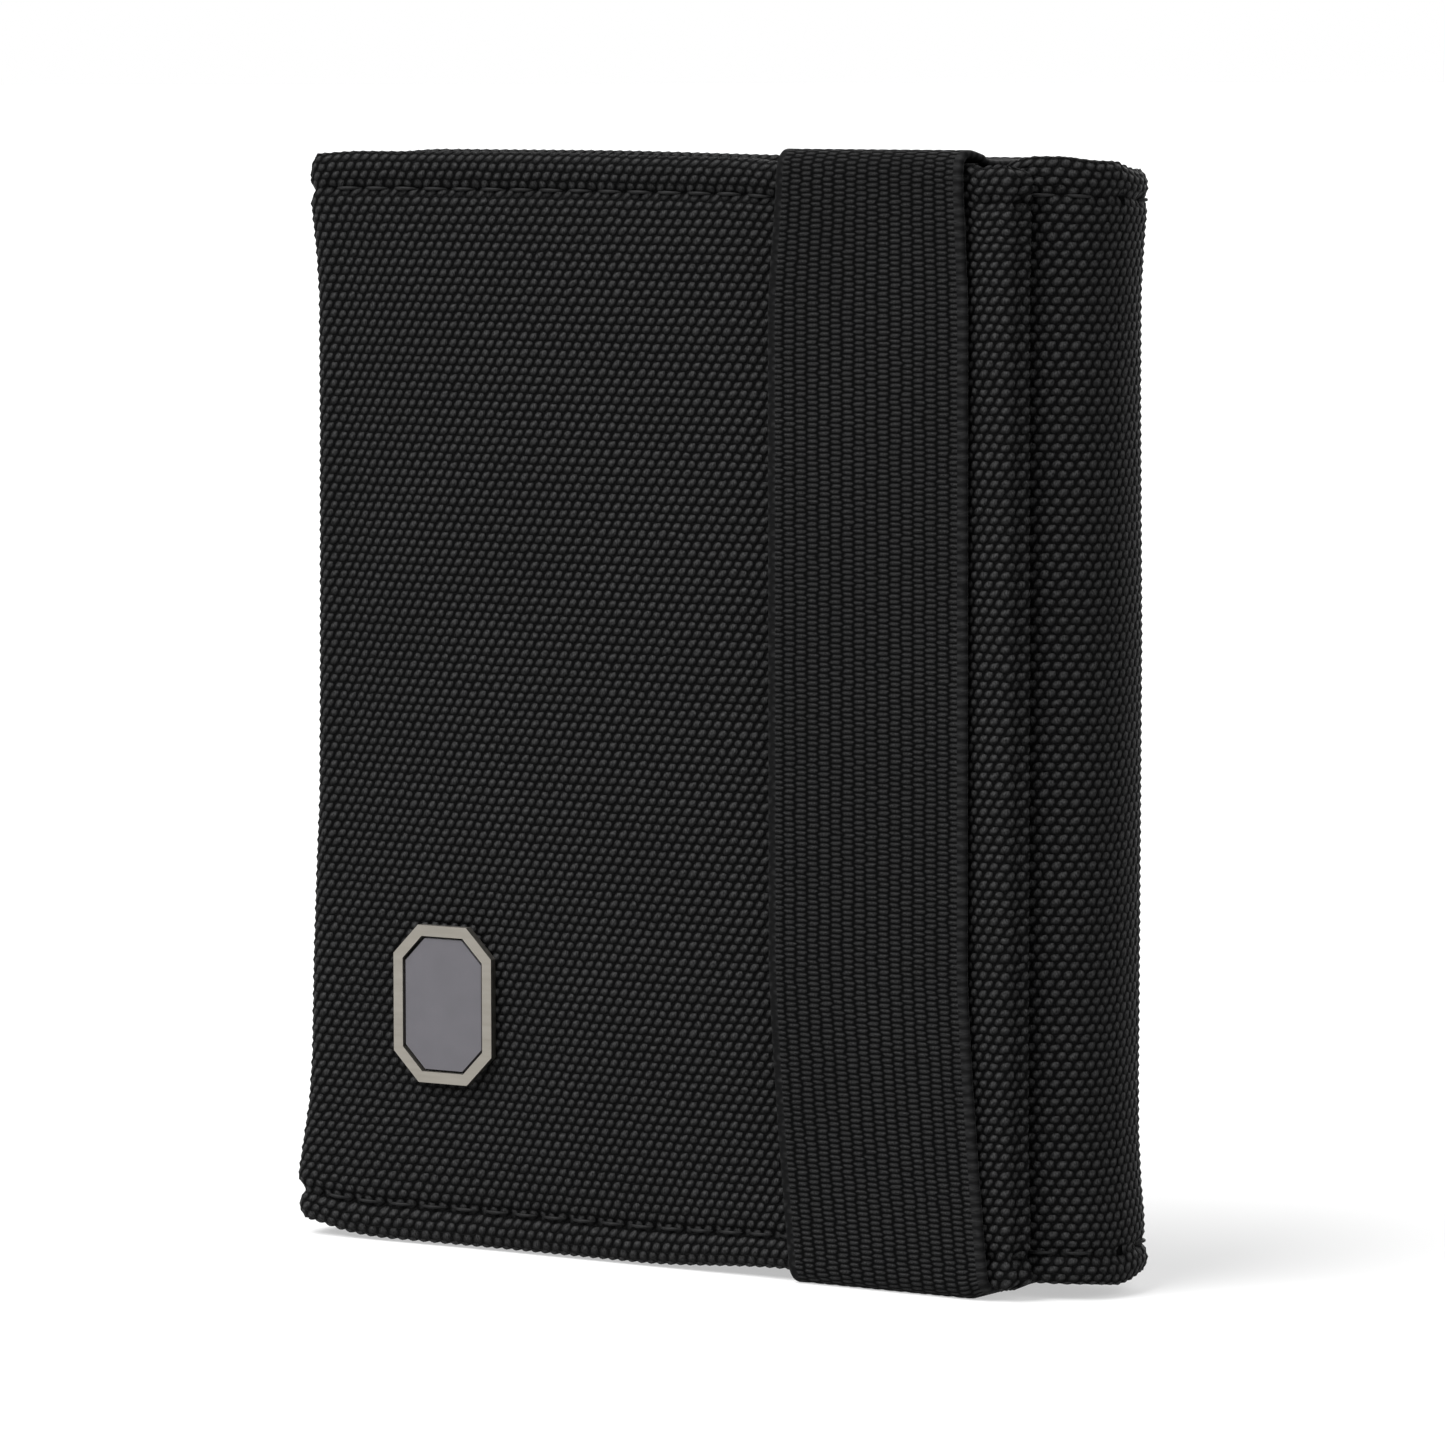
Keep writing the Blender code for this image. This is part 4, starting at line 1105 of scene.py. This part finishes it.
# Each material and finish, and the nodes that take it: a node's body, then its grow, shift and lower.
SOFT_NODES = (
    (BOARD, "stiffener_board", (("front_stiffener", "front_flap", -0.6),
                                ("inner_stiffener", "inner_flap", -0.6),
                                ("back_stiffener", "back_panel", -0.6))),
    (FOIL, "rfid_foil", (("rfid_shield", "back_panel", -1.6),)),
    (LINING, "lining_fabric", (
        ("front_lining", "front_flap", 0.0, -0.3), ("front_slip_pocket", "front_flap"),
        ("inner_lining", "inner_flap", 0.0, -0.3), *CARD_SLOTS,
        ("back_lining", "back_panel", 0.5), ("passport_gusset", "back_panel", 0.0, 0.0, 1.6),
        ("passport_divider", "back_panel", 0.0, 0.0, 1.6), ("coin_gusset", "back_panel", 0.0, 0.0, 1.6),
        ("coin_pouch_wall", "back_panel", 0.0, 0.0, 1.6), ("left_spine_lining", "left_spine"),
        ("right_spine_lining", "right_spine"))),
    (TAPE, "zip_tape", (("zip_tape_left", "back_panel"), ("zip_tape_right", "back_panel"))),
)
soft_pieces = {node: soft_copy(node, material, slot_name, *rest)
               for material, slot_name, rows in SOFT_NODES for node, *rest in rows}


def sewn_row(name, body, start, end, facing):
    """A straight row of stitches on a lining or a hem, from start to end in millimetres."""
    start, end = np.array(start, float), np.array(end, float)
    count = int(np.linalg.norm(end - start) / ROW_STEP) + 2
    share = np.linspace(0.0, 1.0, count)[:, None]
    points = slump(start + (end - start) * share)
    normals = np.tile((0.0, facing, 0.0), (count, 1))
    made = stitches(name, along(points), points, normals, material=LINING_THREAD, pitch=LINING_PITCH)
    settle(made, body)
    return made


def binding(node, body, facing):
    """A woven tape folded over a pocket's mouth, with the row of stitches that holds it."""
    low, high = box_mm(node)
    face = high[1] if facing > 0 else low[1]
    thick = high[1] - low[1]
    section = spline([(0.02, -5.4), (0.24, -5.1), (0.30, -4.2), (0.26, -3.4), (0.30, -2.4),
                      (0.30, -0.6), (0.18, 0.12), (-thick / 2.0, 0.34), (-thick - 0.12, 0.1),
                      (-thick - 0.14, -0.8)])[::6]
    x = np.arange(low[0] + 0.3, high[0] - 0.2, 1.0)
    grid = np.zeros((len(x), len(section), 3))
    grid[..., 0] = x[:, None]
    grid[..., 1] = face + facing * section[None, :, 0]
    grid[..., 2] = high[2] + section[None, :, 1]
    faces = grid_faces(*grid.shape[:2])
    if facing < 0:
        faces = faces[:, ::-1]
    made = new_object("binding_" + node, slump(grid).reshape(-1, 3), faces, [TAPE],
                      uvs=grid[..., [0, 2]].reshape(-1, 2))
    settle(made, body)
    at, height = face + facing * BINDING_FACE, high[2] - BINDING_ROW
    row = sewn_row(f"binding_{node}_stitches", body, (low[0] + 1.0, at, height),
                   (high[0] - 1.0, at, height), facing)
    return [made, row]


def side_rows(node, body, facing):
    """The rows of stitches that hold a pocket down along its two sides."""
    low, high = box_mm(node)
    face = (high[1] if facing > 0 else low[1]) + facing * 0.05
    return [sewn_row(f"{node}_side_stitches_{i}", body, (x, face, low[2] + 2.5),
                     (x, face, high[2] - 6.0), facing)
            for i, x in enumerate((low[0] + SIDE_INSET, high[0] - SIDE_INSET))]


trims = {node: binding(node, body, 1.0) + side_rows(node, body, 1.0)
         for node, body in (("front_slip_pocket", "front_flap"), *CARD_SLOTS)}
trims["passport_divider"] = binding("passport_divider", "back_panel", -1.0)
pouch_low, pouch_high = box_mm("coin_pouch_wall")
pouch_face = pouch_low[1] - 0.05
trims["coin_pouch_wall"] = side_rows("coin_pouch_wall", "back_panel", -1.0) + [
    sewn_row(f"coin_pouch_wall_row_{i}", "back_panel", (pouch_low[0] + SIDE_INSET, pouch_face, z),
             (pouch_high[0] - SIDE_INSET, pouch_face, z), -1.0)
    for i, z in enumerate((pouch_low[2] + 2.2, pouch_high[2] - 3.0))]
HEM_DEPTH = 1.0 + HEM_STEP / 2.0
hem_face = FRONT_Y + PANEL_THICKNESS * HEM_DEPTH + 0.08
inner_hem = INNER_Y + inner_thickness * HEM_DEPTH + 0.08
HEM_ROWS = (("front_lining", "front", "front_flap", -44.0, 40.0, hem_face),
            ("inner_lining", "inner", "inner_flap", 0.5, 44.0, inner_hem))
for lining, panel, body, first, last, face in HEM_ROWS:
    trims[lining] = [
        sewn_row(f"{panel}_hem_{edge}_stitches", body, (first, face, at), (last, face, at), 1.0)
        for edge, at in EDGE_ROWS]


# ---------------------------------------------------------------- carried-over CAD nodes

CAD_LOOKS = (
    ("badge_frame", NICKEL, 0.18), ("badge_enamel", ENAMEL, 0.12),
    ("badge_backplate", NICKEL, 0.08), ("zip_coil_left", COIL, 0.06), ("zip_coil_right", COIL, 0.06),
    ("zip_bottom_stop", GUNMETAL, 0.12), ("zip_top_stop", GUNMETAL, 0.12), ("zip_slider", GUNMETAL, 0.15),
    ("zip_pull", GUNMETAL, 0.15))
for node, look, bevel in CAD_LOOKS:
    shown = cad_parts[node]
    shown.data.materials.clear()
    shown.data.materials.append(look)
    rounding = shown.modifiers.new("rounding", "BEVEL")
    rounding.width = bevel * MM
    rounding.segments = 3
    rounding.limit_method = "ANGLE"


# ---------------------------------------------------------------- studio

CAMERA_YAW = 33.15
CAMERA_PITCH = 5.0
CAMERA_ROLL = -0.11
CAMERA_PLACE = (0.5432, -0.8301, 0.1543)
LENS = 199.3
SENSOR = 36.0

AMBIENT = 0.22
FLOOR_RADIUS = 30.0
FLOOR_GLOW = 0.40
# Each lamp's name, place, power, spread in degrees, and whether it casts a shadow.
LAMPS = (("key_over", (-0.5, -0.8, 1.25), 5.7, 50.0, True),
         ("side_right", (1.0, -0.35, 0.75), 1.5, 40.0, True),
         ("back_fill", (-0.3, 1.0, 0.55), 2.6, 60.0, False))


def lamp(name, place, power, spread, shadow):
    """A distant soft light that shines from place towards the object."""
    data = bpy.data.lights.new(name, "SUN")
    data.energy = power
    data.angle = math.radians(spread)
    data.use_shadow = shadow
    link(name, data).rotation_euler = Vector(place).to_track_quat("Z", "Y").to_euler()


def studio():
    """A flat pale floor, soft lights, and the camera."""
    scene = bpy.context.scene
    scene.view_settings.view_transform = "Standard"
    yaw, pitch = math.radians(CAMERA_YAW), math.radians(CAMERA_PITCH)
    back = Vector((math.sin(yaw) * math.cos(pitch), -math.cos(yaw) * math.cos(pitch), math.sin(pitch)))
    data = bpy.data.cameras.new("camera")
    data.lens = LENS
    data.sensor_width = SENSOR
    data.clip_start, data.clip_end = 0.05, 20.0
    camera = link("camera", data)
    camera.location = CAMERA_PLACE
    turn = (-back).to_track_quat("-Z", "Y").to_matrix()
    camera.rotation_euler = (turn @ Matrix.Rotation(math.radians(CAMERA_ROLL), 3, "Z")).to_euler()
    scene.camera = camera

    ring = np.linspace(0.0, 2.0 * math.pi, 65)
    radii = np.concatenate([[1e-4], np.geomspace(0.3, FLOOR_RADIUS, 24)])
    grid = np.stack([np.outer(radii, np.cos(ring)), np.outer(radii, np.sin(ring)),
                     np.zeros((len(radii), len(ring)))], -1) / MM
    white = solid("studio_white", (0.36, 0.36, 0.36), (0.38, 0.38, 0.38), 0.9, scale=3.0, bump=0.0,
                  specular=0.1)
    shader = white.node_tree.nodes["Principled BSDF"]
    shader.inputs["Emission Color"].default_value = (1.0, 1.0, 1.0, 1.0)
    shader.inputs["Emission Strength"].default_value = FLOOR_GLOW
    new_object("studio_floor", grid.reshape(-1, 3), grid_faces(*grid.shape[:2]), [white])

    world = bpy.data.worlds.new("studio")
    world.use_nodes = True
    world.node_tree.nodes["Background"].inputs["Color"].default_value = (1.0, 1.0, 1.0, 1.0)
    seen = world.node_tree.nodes.new("ShaderNodeLightPath").outputs["Is Camera Ray"]
    strength = math_node(world.node_tree, "MULTIPLY_ADD", seen, 1.0 - AMBIENT, AMBIENT)
    world.node_tree.links.new(strength, world.node_tree.nodes["Background"].inputs["Strength"])
    scene.world = world
    for row in LAMPS:
        lamp(*row)


studio()
